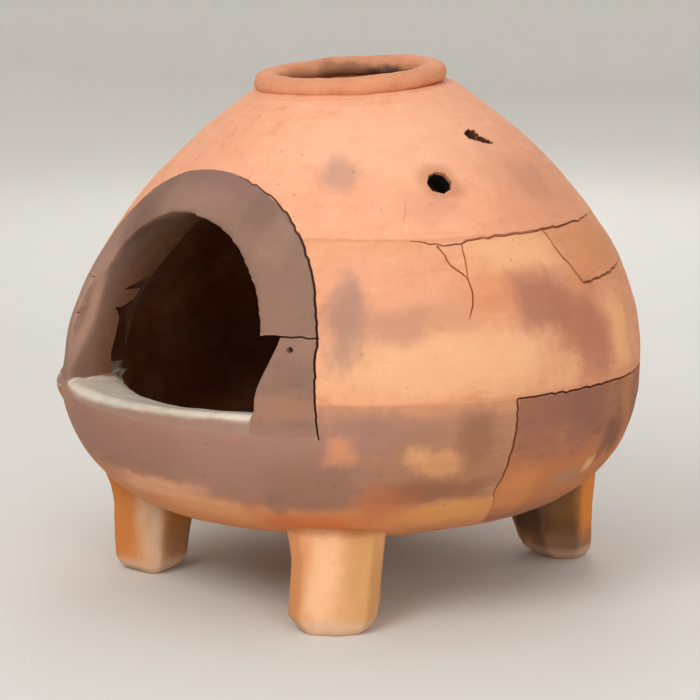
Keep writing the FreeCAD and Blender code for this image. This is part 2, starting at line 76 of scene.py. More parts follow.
# %% Measures read from the frame
BELLY_RADIUS = cad_high.x
BASE_Z = 0.071  # the bowl's flat base, above the ground
BOWL_ARC = 0.120  # the radii of the three arcs, from the base up
SHOULDER_ARC = 0.235
DOME_ARC = 0.500
WALL = 0.024  # how thick the wall is
SURROUND = 0.057  # how deep the surround's blocks are
MID_Z = BASE_Z + BOWL_ARC
SHOULDER_Z = 0.318
SEAM_GAP = 0.0012
LOWER_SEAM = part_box("belly_wall")[0].z - SEAM_GAP
UPPER_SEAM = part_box("dome_cap")[0].z - SEAM_GAP
NECK_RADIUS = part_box("neck_collar")[1].x
NECK_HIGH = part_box("neck_collar")[1].z
RIM_LOW, RIM_HIGH = [corner.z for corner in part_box("rim_coil")]
RIM_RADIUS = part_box("rim_coil")[1].x
SILL_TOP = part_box("sill_ledge")[1].z
SILL_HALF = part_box("sill_ledge")[1].x
FLUE_RADIUS = 0.0690

BOWL_X = BELLY_RADIUS - BOWL_ARC
SHOULDER_X = BELLY_RADIUS - SHOULDER_ARC
TURN = math.asin((SHOULDER_Z - MID_Z) / SHOULDER_ARC)
DOME_X = SHOULDER_X - (DOME_ARC - SHOULDER_ARC) * math.cos(TURN)
DOME_Z = MID_Z - (DOME_ARC - SHOULDER_ARC) * math.sin(TURN)
print(f"seams at {LOWER_SEAM:.3f} and {UPPER_SEAM:.3f} m, rim top at {RIM_HIGH:.4f} m")


# %% The outline as arcs
def sweep(centre_x, centre_z, radius, first, last, count):
    """Points along an arc of the outline, angles in radians."""
    angles = np.linspace(first, last, count)
    return [(centre_x + radius * math.cos(a), centre_z + radius * math.sin(a)) for a in angles]


def outline(inset, neck=NECK_RADIUS):
    """The pot's outline from the base's edge to the neck, moved inward by inset."""
    top = math.acos((neck - DOME_X) / (DOME_ARC - inset))
    points = sweep(BOWL_X, MID_Z, BOWL_ARC - inset, -math.pi / 2, 0, 14)
    points += sweep(SHOULDER_X, MID_Z, SHOULDER_ARC - inset, 0, TURN, 12)[1:]
    points += sweep(DOME_X, DOME_Z, DOME_ARC - inset, TURN, top, 18)[1:]
    return points


def outside_radius(z):
    """Radius of the outline at a height."""
    if z < MID_Z:
        return BOWL_X + math.sqrt(max(BOWL_ARC**2 - (MID_Z - z) ** 2, 0.0))
    if z < SHOULDER_Z:
        return SHOULDER_X + math.sqrt(SHOULDER_ARC**2 - (z - MID_Z) ** 2)
    return DOME_X + math.sqrt(max(DOME_ARC**2 - (z - DOME_Z) ** 2, 0.0))


def at(angle, radius, z):
    """A place at an angle in degrees, round from the front to the right, and at a radius and height."""
    a = math.radians(angle)
    return Vector((radius * math.sin(a), -radius * math.cos(a), z))


def on_pot(angle, z):
    """A place on the outline."""
    return at(angle, outside_radius(z), z)


# %% [markdown]
# ## Helpers for working by operator
#
# Operators act on whatever is selected, so each helper first selects just the object it works on.
# Clay has no straight edges: every lump is joined, remeshed into small even faces, and smoothed,
# which rounds its corners as a wet hand does.


# %% Selection, modifiers and cutting
def only(obj):
    """Select one object and nothing else."""
    for other in bpy.context.selected_objects:
        other.select_set(False)
    obj.select_set(True)
    bpy.context.view_layer.objects.active = obj
    return obj


def edit(obj, *steps):
    """Run steps in edit mode with the whole mesh selected."""
    only(obj)
    bpy.ops.object.mode_set(mode="EDIT")
    bpy.ops.mesh.select_all(action="SELECT")
    for step in steps:
        step()
    bpy.ops.object.mode_set(mode="OBJECT")
    return obj


def modify(obj, kind, **settings):
    """Add a modifier with its settings and apply it."""
    only(obj)
    modifier = obj.modifiers.new(kind.lower(), kind)
    for key, value in settings.items():
        setattr(modifier, key, value)
    bpy.ops.object.modifier_apply(modifier=modifier.name)
    return obj


def boolean(obj, tool, operation):
    return modify(obj, "BOOLEAN", object=tool, operation=operation, solver="MANIFOLD")


def duplicate(obj, name):
    """A copy with its own mesh."""
    twin = obj.copy()
    twin.data = obj.data.copy()
    twin.name = name
    bpy.context.collection.objects.link(twin)
    return twin


def discard(*objects):
    for obj in objects:
        bpy.data.objects.remove(obj, do_unlink=True)


def cut(obj, tool, operation="DIFFERENCE"):
    """Cut an object with a tool, and clear the tool away."""
    boolean(obj, tool, operation)
    discard(tool)


def split(obj, territory, name):
    """Cut obj in two along a territory: returns the part inside, and leaves the rest in obj."""
    inside = duplicate(obj, name)
    boolean(inside, territory, "INTERSECT")
    cut(obj, territory)
    return inside


def draw_out(shift=(0, 0, 0)):
    """A step that draws the selected faces or edges out by a shift."""
    return lambda: bpy.ops.mesh.extrude_region_move(TRANSFORM_OT_translate={"value": shift})


def move_from_axis(factor):
    """A step that moves the selection from or towards the upright axis."""
    return lambda: bpy.ops.transform.resize(value=(factor, factor, 1), center_override=(0, 0, 0))


def close_up():
    """Merge doubles, drop loose edges and turn the faces outward."""
    bpy.ops.mesh.select_all(action="SELECT")
    bpy.ops.mesh.remove_doubles(threshold=0.00001)
    bpy.ops.mesh.delete_loose()
    bpy.ops.mesh.select_all(action="SELECT")
    bpy.ops.mesh.normals_make_consistent(inside=False)


def soften(obj, voxel, passes):
    """Remesh into even faces and smooth them, as wet clay is smoothed by hand."""
    modify(obj, "REMESH", mode="VOXEL", voxel_size=voxel)
    return modify(obj, "SMOOTH", factor=0.5, iterations=passes)


def lumps(obj, name, scale, height, axis="NORMAL"):
    """Uneven swellings of one size, made by a cloud texture fixed to the object."""
    texture = bpy.data.textures.new(name, "CLOUDS")
    texture.noise_scale = scale
    return modify(
        obj, "DISPLACE", texture=texture, texture_coords="LOCAL", strength=height, mid_level=0.5,
        direction=axis,
    )


# %% Shapes that the pieces and cutters start from
def loop(name, points, fill="NOTHING"):
    """A circle whose vertices are moved onto a closed outline."""
    bpy.ops.object.select_all(action="DESELECT")
    bpy.ops.mesh.primitive_circle_add(vertices=len(points), radius=1, fill_type=fill, location=(0, 0, 0))
    obj = bpy.context.object
    obj.name = name
    for vertex, place in zip(obj.data.vertices, points):
        vertex.co = place
    return obj


def turned(name, section, steps=160):
    """A closed section of (radius, height) points spun round the upright axis."""
    obj = loop(name, [(r, 0, z) for r, z in section])
    spin = lambda: bpy.ops.mesh.spin(steps=steps, angle=math.tau, center=(0, 0, 0), axis=(0, 0, 1))
    return edit(obj, spin, close_up)


def front_prism(name, points, back, front):
    """An outline of (x, z) points extruded along Y from back to front."""
    obj = loop(name, [(x, back, z) for x, z in points], fill="NGON")
    return edit(obj, draw_out((0, front - back, 0)), close_up)


def side_prism(name, points, left, right):
    """An outline of (y, z) points extruded along X from left to right."""
    obj = loop(name, [(left, y, z) for y, z in points], fill="NGON")
    return edit(obj, draw_out((right - left, 0, 0)), close_up)


def box(name, low, high):
    """A box between two corners."""
    bpy.ops.object.select_all(action="DESELECT")
    low, high = Vector(low), Vector(high)
    bpy.ops.mesh.primitive_cube_add(size=1, location=(low + high) / 2, scale=high - low)
    obj = bpy.context.object
    obj.name = name
    bpy.ops.object.transform_apply(location=True, rotation=True, scale=True)
    return obj


def arch(radius, centre_x, centre_z, rake, foot_z, count=40):
    """An arch of one arc on two raked legs, from the right foot round to the left one."""
    top = sweep(centre_x, centre_z, radius, rake, math.pi - rake, count)
    spread = (top[0][1] - foot_z) * math.tan(rake)
    return [(top[0][0] + spread, foot_z)] + top + [(top[-1][0] - spread, foot_z)]


# %% [markdown]
# ## The pot, raised as one wall
#
# The real pot was raised from the base in rings of clay and beaten smooth, and only later did it
# crack.  It is made here in the same order: one wall with its surround and sill, pushed a little out
# of round, softened, and divided into its courses, blocks and sherds at the end.  The cut faces of
# neighbours then match exactly, which separate models never would.

# %% Wall, surround and sill as raw clay
REACH = 0.36
RAKE = math.radians(6.7)
MOUTH_OUTER = dict(radius=0.1715, centre_x=0.001, centre_z=0.2285, rake=RAKE)
MOUTH_INNER = dict(radius=0.1285, centre_x=-0.003, centre_z=0.2335, rake=math.radians(1.0))


def wall_section(outer_inset, thickness):
    """The wall from the middle of the base up to the collar round the flue, and back inside."""
    outer = outline(outer_inset)
    inner = outline(outer_inset + thickness, neck=FLUE_RADIUS)
    collar = [(0.0900, NECK_HIGH + 0.0015), (0.0760, NECK_HIGH + 0.0015), (FLUE_RADIUS, NECK_HIGH - 0.003)]
    return [(0, outer[0][1])] + outer + collar + inner[::-1] + [(0, inner[0][1])]


def read_places(obj):
    """The vertices of an object as an array."""
    places = np.empty(len(obj.data.vertices) * 3)
    obj.data.vertices.foreach_get("co", places)
    return places.reshape(-1, 3)


def write_places(obj, places):
    obj.data.vertices.foreach_set("co", places.ravel())
    obj.data.update()


LEAN = 0.0067


def lean(z):
    """How far the pot leans to its back right-hand side at a height."""
    return LEAN * np.clip((z - MID_Z) / 0.12, 0, 1) * (1 - 0.7 * np.clip((z - 0.41) / 0.07, 0, 1))


def wall_radius(angle, z):
    """Distance from the axis to the leaning pot's outer face."""
    a = math.radians(angle)
    return outside_radius(z) + float(lean(np.float64(z))) * (math.sin(a) - math.cos(a))


def on_wall(angle, z):
    """A place on the leaning pot's outer face."""
    return at(angle, wall_radius(angle, z), z)


def push_out_of_round(obj):
    places = read_places(obj)
    places[:, :2] += lean(places[:, 2])[:, None]
    write_places(obj, places)


def push(obj, place, reach, shift):
    """Push the clay near a place by a shift that fades out at the reach, as with a thumb."""
    places = read_places(obj)
    away = np.linalg.norm(places - np.array(place), axis=1) / reach
    places += np.outer(np.clip(1 - away**2, 0, 1) ** 2, np.array(shift))
    write_places(obj, places)


UPHILL = Vector((0.21, 0.98, 0)).normalized()


def tip_crown(obj, rise=0.0048):
    """Lift the clay round the flue on its far side and lower the near side, as the rim sits."""
    places = read_places(obj)
    beyond = np.hypot(places[:, 0], places[:, 1])
    across = (places[:, 0] * UPHILL.x + places[:, 1] * UPHILL.y) / NECK_RADIUS
    high = np.clip((places[:, 2] - 0.39) / 0.05, 0, 1)
    fade = np.clip((0.170 - beyond) / 0.070, 0, 1)
    places[:, 2] += rise * np.clip(across, -1, 1) * high * fade
    write_places(obj, places)


def set_back_left_arris(obj, amount=0.022):
    """Turn the left jamb's face towards the right: its inner edge is set back, its outer edge stays."""
    places = read_places(obj)
    x, y, z = places.T
    from_middle = np.hypot(x - MOUTH_INNER["centre_x"], np.maximum(z - MOUTH_INNER["centre_z"], 0))
    across = np.clip((MOUTH_OUTER["radius"] + 0.004 - from_middle) / 0.045, 0, 1) ** 1.3
    height = np.clip((z - 0.205) / 0.045, 0, 1) * np.clip((0.335 - z) / 0.055, 0, 1)
    behind = np.clip((outside_radius(0.25) - np.hypot(x, y)) / SURROUND, 0, 1)
    places[:, 1] += amount * across * height * (1 - behind) * ((x < 0) & (y < 0))
    write_places(obj, places)


pot = turned("pot", wall_section(0.0, WALL))
surround = turned("surround", wall_section(0.0003, SURROUND))
for raw in (pot, surround):
    push_out_of_round(raw)
outer_cut = front_prism("outer_cut", arch(foot_z=SILL_TOP - 0.002, **MOUTH_OUTER), -REACH, 0)
inner_cut = front_prism("inner_cut", arch(foot_z=SILL_TOP - 0.010, **MOUTH_INNER), -REACH, 0)
cut(surround, outer_cut, "INTERSECT")
cut(surround, inner_cut)
soften(surround, 0.0018, 16)
set_back_left_arris(surround)
SURROUND_LAP = 0.009
MOUTH_IN_WALL = {**MOUTH_INNER, "radius": MOUTH_INNER["radius"] + SURROUND_LAP}
wide_cut = front_prism("wide_cut", arch(foot_z=SILL_TOP - 0.010, **MOUTH_IN_WALL), -REACH, 0)
cut(pot, wide_cut)

SILL_SECTION = [
    (0.2500, 0.1660), (0.2760, 0.1700), (0.2785, 0.1800), (0.2788, 0.1900), (0.2765, 0.1950),
    (0.2715, 0.1970), (0.2600, 0.1940), (0.2430, 0.1905), (0.2290, 0.1885), (0.2180, 0.1855),
    (0.2130, 0.1800), (0.2130, 0.1720), (0.2180, 0.1670),
]
sill = turned("sill", SILL_SECTION)
cut(sill, box("sill_limits", (-SILL_HALF, -REACH, 0.1), (SILL_HALF, -0.10, 0.3)), "INTERSECT")
SILL_RISE = 0.0065
sill_places = read_places(sill)
sill_places[:, 2] += SILL_RISE * np.clip((sill_places[:, 0] + 0.06) / 0.17, 0, 1)
write_places(sill, sill_places)
print("raw clay:", len(pot.data.polygons), len(surround.data.polygons), len(sill.data.polygons), "faces")

# %% Join, soften and leave the marks of hands
VOXEL = 0.0027
only(pot)
surround.select_set(True)
sill.select_set(True)
bpy.ops.object.join()
tip_crown(pot)
soften(pot, VOXEL, 12)
lumps(pot, "beaten_swellings", 0.11, 0.0045)
lumps(pot, "finger_dents", 0.035, 0.0014)
print("softened pot:", len(pot.data.polygons), "faces")

left_corner = Vector((-0.7, -0.7, 0))
push(pot, on_pot(-43, 0.208), 0.045, left_corner * -0.011)
push(pot, on_pot(-39, 0.189), 0.024, left_corner * 0.007)
push(pot, (-0.020, -0.230, 0.400), 0.080, (-0.004, 0.0, 0.002))

# %% [markdown]
# ## Cracks
#
# A crack wanders, is widest where the clay parted first, and closes to a hair at its tips.  Each one
# is cut with a thin blade: a chain of edges laid on the pot, drawn out of the surface and into the
# wall, and given a thickness that a vertex group tapers towards the ends.  Every blade stops inside
# the wall, so no light comes through.

# %% Paths of the cracks and seams, as (angle round from the front, height)
DICE = np.random.RandomState(58)


def upper_seam(angle):
    """Height of the seam under the dome, which dips where the pot has cracked most."""
    dip = math.exp(-(((angle - 68) / 5.5) ** 2))
    return UPPER_SEAM + 0.0008 - 0.0052 * dip + 0.0012 * math.sin(math.radians(3 * angle + 20))


def lower_seam(angle):
    """Height of the seam over the bowl, which falls slowly round the right-hand side."""
    right = math.exp(-(((angle - 125) / 34) ** 2))
    return LOWER_SEAM - 0.0005 - 0.0085 * right + 0.0010 * math.sin(math.radians(4 * angle))


def along(seam, first, last, step):
    return [(a, seam(a)) for a in np.arange(first, last + 0.1, step)]


def wander(path, jitter=0.0005, step=0.005):
    """Divide a path into short steps and let it stray a little from the straight line."""
    result = []
    for (a0, z0), (a1, z1) in zip(path, path[1:]):
        length = math.hypot(math.radians(a1 - a0) * outside_radius(z0), z1 - z0)
        for t in np.arange(0, 1, 1 / max(1, round(length / step))):
            result.append((a0 + (a1 - a0) * t, z0 + (z1 - z0) * t))
    result.append(path[-1])
    ends = {0, len(result) - 1}
    stray = DICE.normal(0, jitter, (len(result), 2))
    return [
        (a, z) if n in ends else (a + math.degrees(stray[n, 0] / outside_radius(z)), z + stray[n, 1])
        for n, (a, z) in enumerate(result)
    ]


def arch_path(first, side, foot):
    """The surround's outer edge as angles and heights, from an arch angle down to its foot."""
    rim, rake = MOUTH_OUTER["radius"], math.degrees(RAKE)
    centre_x, centre_z = MOUTH_OUTER["centre_x"], MOUTH_OUTER["centre_z"]
    arc = [(rim * math.cos(math.radians(d)), rim * math.sin(math.radians(d)))
           for d in np.linspace(first, rake, 22)]
    spread, low = arc[-1]
    leg = [(spread + (low + centre_z - z) * math.tan(RAKE), z - centre_z)
           for z in np.linspace(centre_z + low, foot, 6)[1:]]
    path = []
    for x, z in arc + leg:
        angle = 0.0
        for _ in range(3):
            angle = math.degrees(math.asin((centre_x + side * x) / wall_radius(angle, centre_z + z)))
        path.append((angle, centre_z + z))
    return path


RIGHT_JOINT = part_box("right_jamb")[1].z
LEFT_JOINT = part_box("left_jamb_upper")[1].z
LEFT_LOW_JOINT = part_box("left_jamb_lower")[1].z
FORK = (70, 0.317)
SIDE_CORNER = (100, 0.301)
BOWL_CRACK_TOP = (77, lower_seam(77))
CRACKS = {
    "seam_under_dome": along(upper_seam, 59, 123, 3),
    "branch_left": [(65, upper_seam(65) - 0.001), (67, 0.328), FORK],
    "branch_stem": [FORK, (70.5, 0.306), (70, 0.295), (68.5, 0.283)],
    "branch_right": [(71, upper_seam(71) - 0.001), FORK],
    "side_crack": [(95, upper_seam(95)), (96, 0.333), SIDE_CORNER, (110, 0.302), (127, 0.306)],
    "seam_over_bowl": along(lower_seam, 77, 127, 3),
    "bowl_crack": [BOWL_CRACK_TOP, (77, 0.194), (76, 0.150), (75, 0.127), (76, 0.112)],
    "surround_edge_right": arch_path(80, 1, 0.184),
    "surround_edge_left": arch_path(78, -1, 0.196),
    "right_joint": [(26, RIGHT_JOINT), (39.5, RIGHT_JOINT)],
    "left_joint": [(-40, LEFT_JOINT), (-25, LEFT_JOINT)],
    "left_low_joint": [(-41, LEFT_LOW_JOINT), (-26, LEFT_LOW_JOINT)],
    "hair_by_vent": [(58, 0.362), (60, 0.378), (61, 0.387), (64, 0.391)],
}
CRACKS = {name: wander(path) for name, path in CRACKS.items()}

# %% Blades
# width at the crack's middle, depth into the wall, and width left at each end as a share
BLADES = {
    "seam_under_dome": (0.0023, 0.0060, 0.25, 0.35),
    "branch_left": (0.0018, 0.0050, 0.9, 0.5),
    "branch_stem": (0.0017, 0.0050, 0.7, 0.15),
    "branch_right": (0.0014, 0.0050, 0.7, 0.7),
    "side_crack": (0.0025, 0.0060, 1.0, 0.30),
    "seam_over_bowl": (0.0021, 0.0060, 0.8, 0.5),
    "bowl_crack": (0.0024, 0.0060, 0.9, 0.1),
    "surround_edge_right": (0.0024, 0.0080, 0.25, 0.7),
    "surround_edge_left": (0.0007, 0.0015, 0.5, 0.5),
    "right_joint": (0.0018, 0.0100, 0.9, 0.9),
    "left_joint": (0.0008, 0.0040, 0.9, 0.9),
    "left_low_joint": (0.0008, 0.0040, 0.9, 0.9),
    "hair_by_vent": (0.0004, 0.0010, 0.2, 0.2),
}


def taper(obj, path, first, last):
    """A vertex group that holds the crack's share of its width at each vertex."""
    group = obj.vertex_groups.new(name="width")
    places = np.array([on_pot(a, z) for a, z in path])
    for vertex in obj.data.vertices:
        flat = Vector((vertex.co.x, vertex.co.y, 0)).normalized()
        spot = np.array(flat * outside_radius(vertex.co.z)) + np.array((0, 0, vertex.co.z))
        share = np.argmin(np.linalg.norm(places - spot, axis=1)) / max(1, len(path) - 1)
        end = first + (1 - first) * min(1, share * 3)
        end = min(end, last + (1 - last) * min(1, (1 - share) * 3))
        group.add([vertex.index], end, "REPLACE")


def open_chain(name, points):
    """A chain of edges: a closed loop with one spare vertex, which is then deleted."""
    obj = loop(name, points + [Vector((0, 0, 0))])
    only(obj)
    bpy.ops.object.mode_set(mode="EDIT")
    bpy.ops.mesh.select_all(action="DESELECT")
    bpy.ops.object.mode_set(mode="OBJECT")
    obj.data.vertices[len(points)].select = True
    bpy.ops.object.mode_set(mode="EDIT")
    bpy.ops.mesh.delete(type="VERT")
    bpy.ops.object.mode_set(mode="OBJECT")
    return obj


def blade(name, path, width, depth, first, last):
    """A thin curved blade that follows a path on the pot and reaches into its wall."""
    obj = open_chain(name, [on_wall(a, z) for a, z in path])
    reach = sum(Vector(v.co[:2]).length for v in obj.data.vertices) / len(obj.data.vertices)
    out, back = (reach + 0.004) / reach, (reach - depth) / (reach + 0.004)
    edit(obj, move_from_axis(out), draw_out(), move_from_axis(back))
    taper(obj, path, first, last)
    modify(
        obj, "SOLIDIFY", thickness=width, offset=0, vertex_group="width", thickness_vertex_group=0.05
    )
    return edit(obj, close_up)


def gather(tools):
    """Unite small tools into one, so that the pot is cut only once."""
    first, *others = tools
    for other in others:
        cut(first, other, "UNION")
    return first


blades = gather([blade(name + "_blade", CRACKS[name], *sizes) for name, sizes in BLADES.items()])
cut(pot, blades)
print(len(BLADES), "cracks cut:", len(pot.data.polygons), "faces")

# %% [markdown]
# ## Holes and chips
#
# The vent was poked through the dome while the clay was soft, so its edge is uneven and a little
# flared.  The peg hole in the right jamb was made with a wire.  The chip near the top and the broken
# corners of the surround came later.


# %% Tools for holes and chips
def turn_to(obj, normal, place):
    """Stand an object that was made along Z on a place, along a normal."""
    turn = Vector(normal).to_track_quat("Z", "Y").to_matrix().to_4x4()
    obj.matrix_world = Matrix.Translation(place) @ turn
    only(obj)
    bpy.ops.object.transform_apply(location=True, rotation=True, scale=True)
    return obj


def dome_normal(angle, z):
    tilt = math.asin((z - DOME_Z) / DOME_ARC)
    around = math.radians(angle)
    return Vector((math.cos(tilt) * math.sin(around), -math.cos(tilt) * math.cos(around), math.sin(tilt)))


def roughen(amount, seed):
    return lambda: bpy.ops.transform.vertex_random(offset=amount, uniform=1.0, seed=seed)


def poke(name, place, normal, mouth_radius, bore_radius, length, sides, seed):
    """A flared, uneven tool for a hole along a normal."""
    bpy.ops.object.select_all(action="DESELECT")
    bpy.ops.mesh.primitive_cone_add(
        vertices=sides, radius1=bore_radius, radius2=mouth_radius, depth=length
    )
    tool = bpy.context.object
    tool.name = name
    edit(tool, roughen(bore_radius * 0.10, seed))
    return turn_to(tool, normal, place)


def flake(name, place, normal, size, spin, seed):
    """A rough flattened lump that bites a shallow flake out of the surface."""
    bpy.ops.object.select_all(action="DESELECT")
    bpy.ops.mesh.primitive_ico_sphere_add(subdivisions=3, radius=1, scale=size)
    tool = bpy.context.object
    tool.name = name
    bpy.ops.object.transform_apply(location=True, rotation=True, scale=True)
    edit(tool, roughen(min(size) * 0.22, seed))
    tool.rotation_euler = (0, 0, math.radians(spin))
    bpy.ops.object.transform_apply(location=True, rotation=True, scale=True)
    return turn_to(tool, normal, place)


def surface(angle, z):
    """The pot's real surface under a place on its outline."""
    bpy.context.view_layer.update()
    return pot.closest_point_on_mesh(on_pot(angle, z))[1]


def on_clay(angle, z):
    """A place on the outline, shifted as the pot leans."""
    shift = float(lean(np.float64(z)))
    return on_pot(angle, z) + Vector((shift, shift, 0))


VENT = (68, 0.395)
CHIP = (91, 0.430)
CHIP_TAIL = (94, 0.425)
bites = gather([
    poke("vent_tool", on_clay(*VENT), dome_normal(*VENT), 0.0132, 0.0112, 0.070, 8, 4),
    flake("dome_chip", on_clay(*CHIP), dome_normal(*CHIP), (0.0078, 0.0062, 0.0100), 30, 12),
    flake("dome_chip_tail", on_clay(*CHIP_TAIL), dome_normal(*CHIP_TAIL), (0.0105, 0.0040, 0.0080), -28, 15),
    poke("peg_tool", surface(34, 0.261), (0.25, -1, 0), 0.0030, 0.0026, 0.050, 10, 3),
])
cut(pot, bites)
print("holes and chips cut:", len(pot.data.polygons), "faces")

# %% [markdown]
# ## Dividing the pot into its pieces
#
# A territory is a closed solid that holds one piece's share of the pot.  The surround is cut out with
# the outline of the mouth, the courses with surfaces that follow the seams, and the sherds with
# prisms bounded by the cracks.

# %% Territories
TERRITORY_REACH = 0.40
TERRITORY_HEIGHT = 0.45


def above(name, seam, seam_radius):
    """Everything above a seam: a fan from the axis out to a wavy ring, drawn upward."""
    ring = 144
    middle = sum(seam(360 * n / ring - 180) for n in range(ring)) / ring
    points = []
    for n in range(ring):
        angle = 360 * n / ring - 180
        z = middle + (seam(angle) - middle) * TERRITORY_REACH / seam_radius
        points.append(at(angle, TERRITORY_REACH, z))
    obj = loop(name, points, fill="NGON")
    return edit(obj, bpy.ops.mesh.poke, draw_out((0, 0, TERRITORY_HEIGHT)), close_up)


def wedge(name, path, near):
    """A prism that points at the axis, with an angle and height path as its outline."""
    obj = loop(name, [at(angle, TERRITORY_REACH, z) for angle, z in path], fill="NGON")
    return edit(obj, draw_out(), move_from_axis(near / TERRITORY_REACH), close_up)


SILL_BED = 0.1855
INNER_RIGHT, INNER_LEFT = 0.1255, -0.1300
sill_outline = [
    (INNER_RIGHT, SILL_BED), (INNER_RIGHT, SILL_TOP + 0.010), (INNER_LEFT, SILL_TOP + 0.010),
    (INNER_LEFT, SILL_TOP + 0.0015), (-SILL_HALF - 0.001, SILL_TOP + 0.0015), (-SILL_HALF - 0.001, SILL_BED),
]
sill_cut = front_prism("sill_cut", sill_outline, -REACH, -0.05)
sill_ledge = split(pot, sill_cut, "sill_ledge_clay")
face_cut = front_prism("face_cut", arch(foot_z=SILL_BED, **MOUTH_OUTER), -REACH, 0)
mouth_frame = split(pot, face_cut, "mouth_frame")
neck_room = turned("neck_room", [(0, 0.40), (NECK_RADIUS, 0.40), (NECK_RADIUS, 0.52), (0, 0.52)])
neck_collar = split(pot, neck_room, "neck_collar_clay")
dome_cap = split(pot, above("over_upper_seam", upper_seam, 0.219), "dome_cap_clay")
belly_wall = split(pot, above("over_lower_seam", lower_seam, 0.2785), "belly_wall_clay")
base_bowl = pot
base_bowl.name = "base_bowl_clay"

small_outline = CRACKS["branch_left"] + CRACKS["branch_right"][::-1][1:]
small_outline += [(71, 0.372), (65, 0.372)]
belly_sherd_small = split(belly_wall, wedge("small_wedge", small_outline, 0.12), "belly_sherd_small_clay")
side_outline = CRACKS["side_crack"] + [(126, 0.330), (128, 0.372), (95, 0.372)]
belly_sherd_side = split(belly_wall, wedge("side_wedge", side_outline, 0.12), "belly_sherd_side_clay")
bowl_outline = CRACKS["bowl_crack"] + [(79, 0.084), (124, 0.084), (127, 0.150), (125, 0.240), (77, 0.240)]
bowl_sherd = split(base_bowl, wedge("bowl_wedge", bowl_outline, 0.176), "bowl_sherd_clay")

# %% Blocks of the surround
right_block = box("right_block", (0, -REACH, 0.1), (0.3, 0, RIGHT_JOINT))
left_block = box("left_block", (-0.3, -REACH, 0.1), (0, 0, LEFT_JOINT + 0.0005))
left_low_block = box("left_low_block", (-0.3, -REACH, 0.1), (0, 0, LEFT_LOW_JOINT + 0.0005))
right_jamb = split(mouth_frame, right_block, "right_jamb_clay")
left_jamb_upper = split(mouth_frame, left_block, "left_jamb_upper_clay")
left_jamb_lower = split(left_jamb_upper, left_low_block, "left_jamb_lower_clay")
arch_crown = mouth_frame
arch_crown.name = "arch_crown_clay"


# %% Broken corners of the blocks
jamb_corner = [
    (0.115, 0.2760), (0.1400, 0.2760), (0.1395, 0.2640), (0.1360, 0.2480), (0.1315, 0.2330),
    (0.1270, 0.2190), (0.1230, 0.2080), (0.115, 0.2080),
]
cut(right_jamb, front_prism("jamb_corner", jamb_corner, -REACH, 0))
joint_notch = [(-0.140, 0.2900), (-0.160, 0.2830), (-0.180, 0.2755), (-0.158, 0.2745), (-0.165, 0.2645),
               (-0.183, 0.2560), (-0.140, 0.2560)]
cut(left_jamb_upper, side_prism("joint_notch", joint_notch, -0.20, -0.05))
lower_corner = [(-0.140, 0.2620), (-0.190, 0.2620), (-0.184, 0.2560), (-0.180, 0.2480), (-0.184, 0.2300),
                (-0.190, 0.2150), (-0.190, 0.1930), (-0.140, 0.1930)]
cut(left_jamb_lower, side_prism("lower_corner", lower_corner, -0.20, -0.05))

for piece in (base_bowl, bowl_sherd, belly_wall, belly_sherd_small, belly_sherd_side, dome_cap,
              sill_ledge, right_jamb, left_jamb_upper, left_jamb_lower, arch_crown):
    print(f"{piece.name:26s} {len(piece.data.polygons):7d} faces")

# %% [markdown]
# ## Rim and neck
#
# The rim is one thick coil of clay laid round the flue and pressed down on a short neck.  It is not
# quite level, so it starts as a torus and is then tipped and made uneven.  The neck is the top of the
# turned wall, which was parted from the dome above.

# %% Rim and neck
RIM_MINOR = (RIM_HIGH - RIM_LOW) / 2
RIM_TIP = math.radians(4.6)
RIM_THICK = 0.0128
bpy.ops.object.select_all(action="DESELECT")
bpy.ops.mesh.primitive_torus_add(
    major_radius=RIM_RADIUS - RIM_THICK, minor_radius=RIM_THICK, major_segments=160, minor_segments=36
)
rim_coil = bpy.context.object
rim_coil.name = "rim_coil_clay"
rim_coil.scale = (1, 1, RIM_MINOR / RIM_THICK * 0.86)
bpy.ops.object.transform_apply(location=True, rotation=True, scale=True)
rim_coil.location = (0, 0, (RIM_LOW + RIM_HIGH) / 2)
rim_coil.rotation_euler = Vector((0, 0, 1)).rotation_difference(
    Vector((-UPHILL.x * math.sin(RIM_TIP), -UPHILL.y * math.sin(RIM_TIP), math.cos(RIM_TIP)))
).to_euler()
bpy.ops.object.transform_apply(location=True, rotation=True, scale=True)
soften(rim_coil, 0.0020, 3)
lumps(rim_coil, "rim_swellings", 0.045, 0.0046)
lumps(rim_coil, "rim_dents", 0.012, 0.0012)
print("rim and neck:", len(rim_coil.data.polygons), len(neck_collar.data.polygons), "faces")

# %% [markdown]
# ## Feet
#
# Each foot is a block of yellower clay, beaten flat on its sides and worn round at the bottom.  It is
# built as a stack of many-sided rings that are bridged into a solid, one ring wherever the real foot
# changes its size, and then softened.  Its top follows the underside of the bowl and sits a little
# way into it.

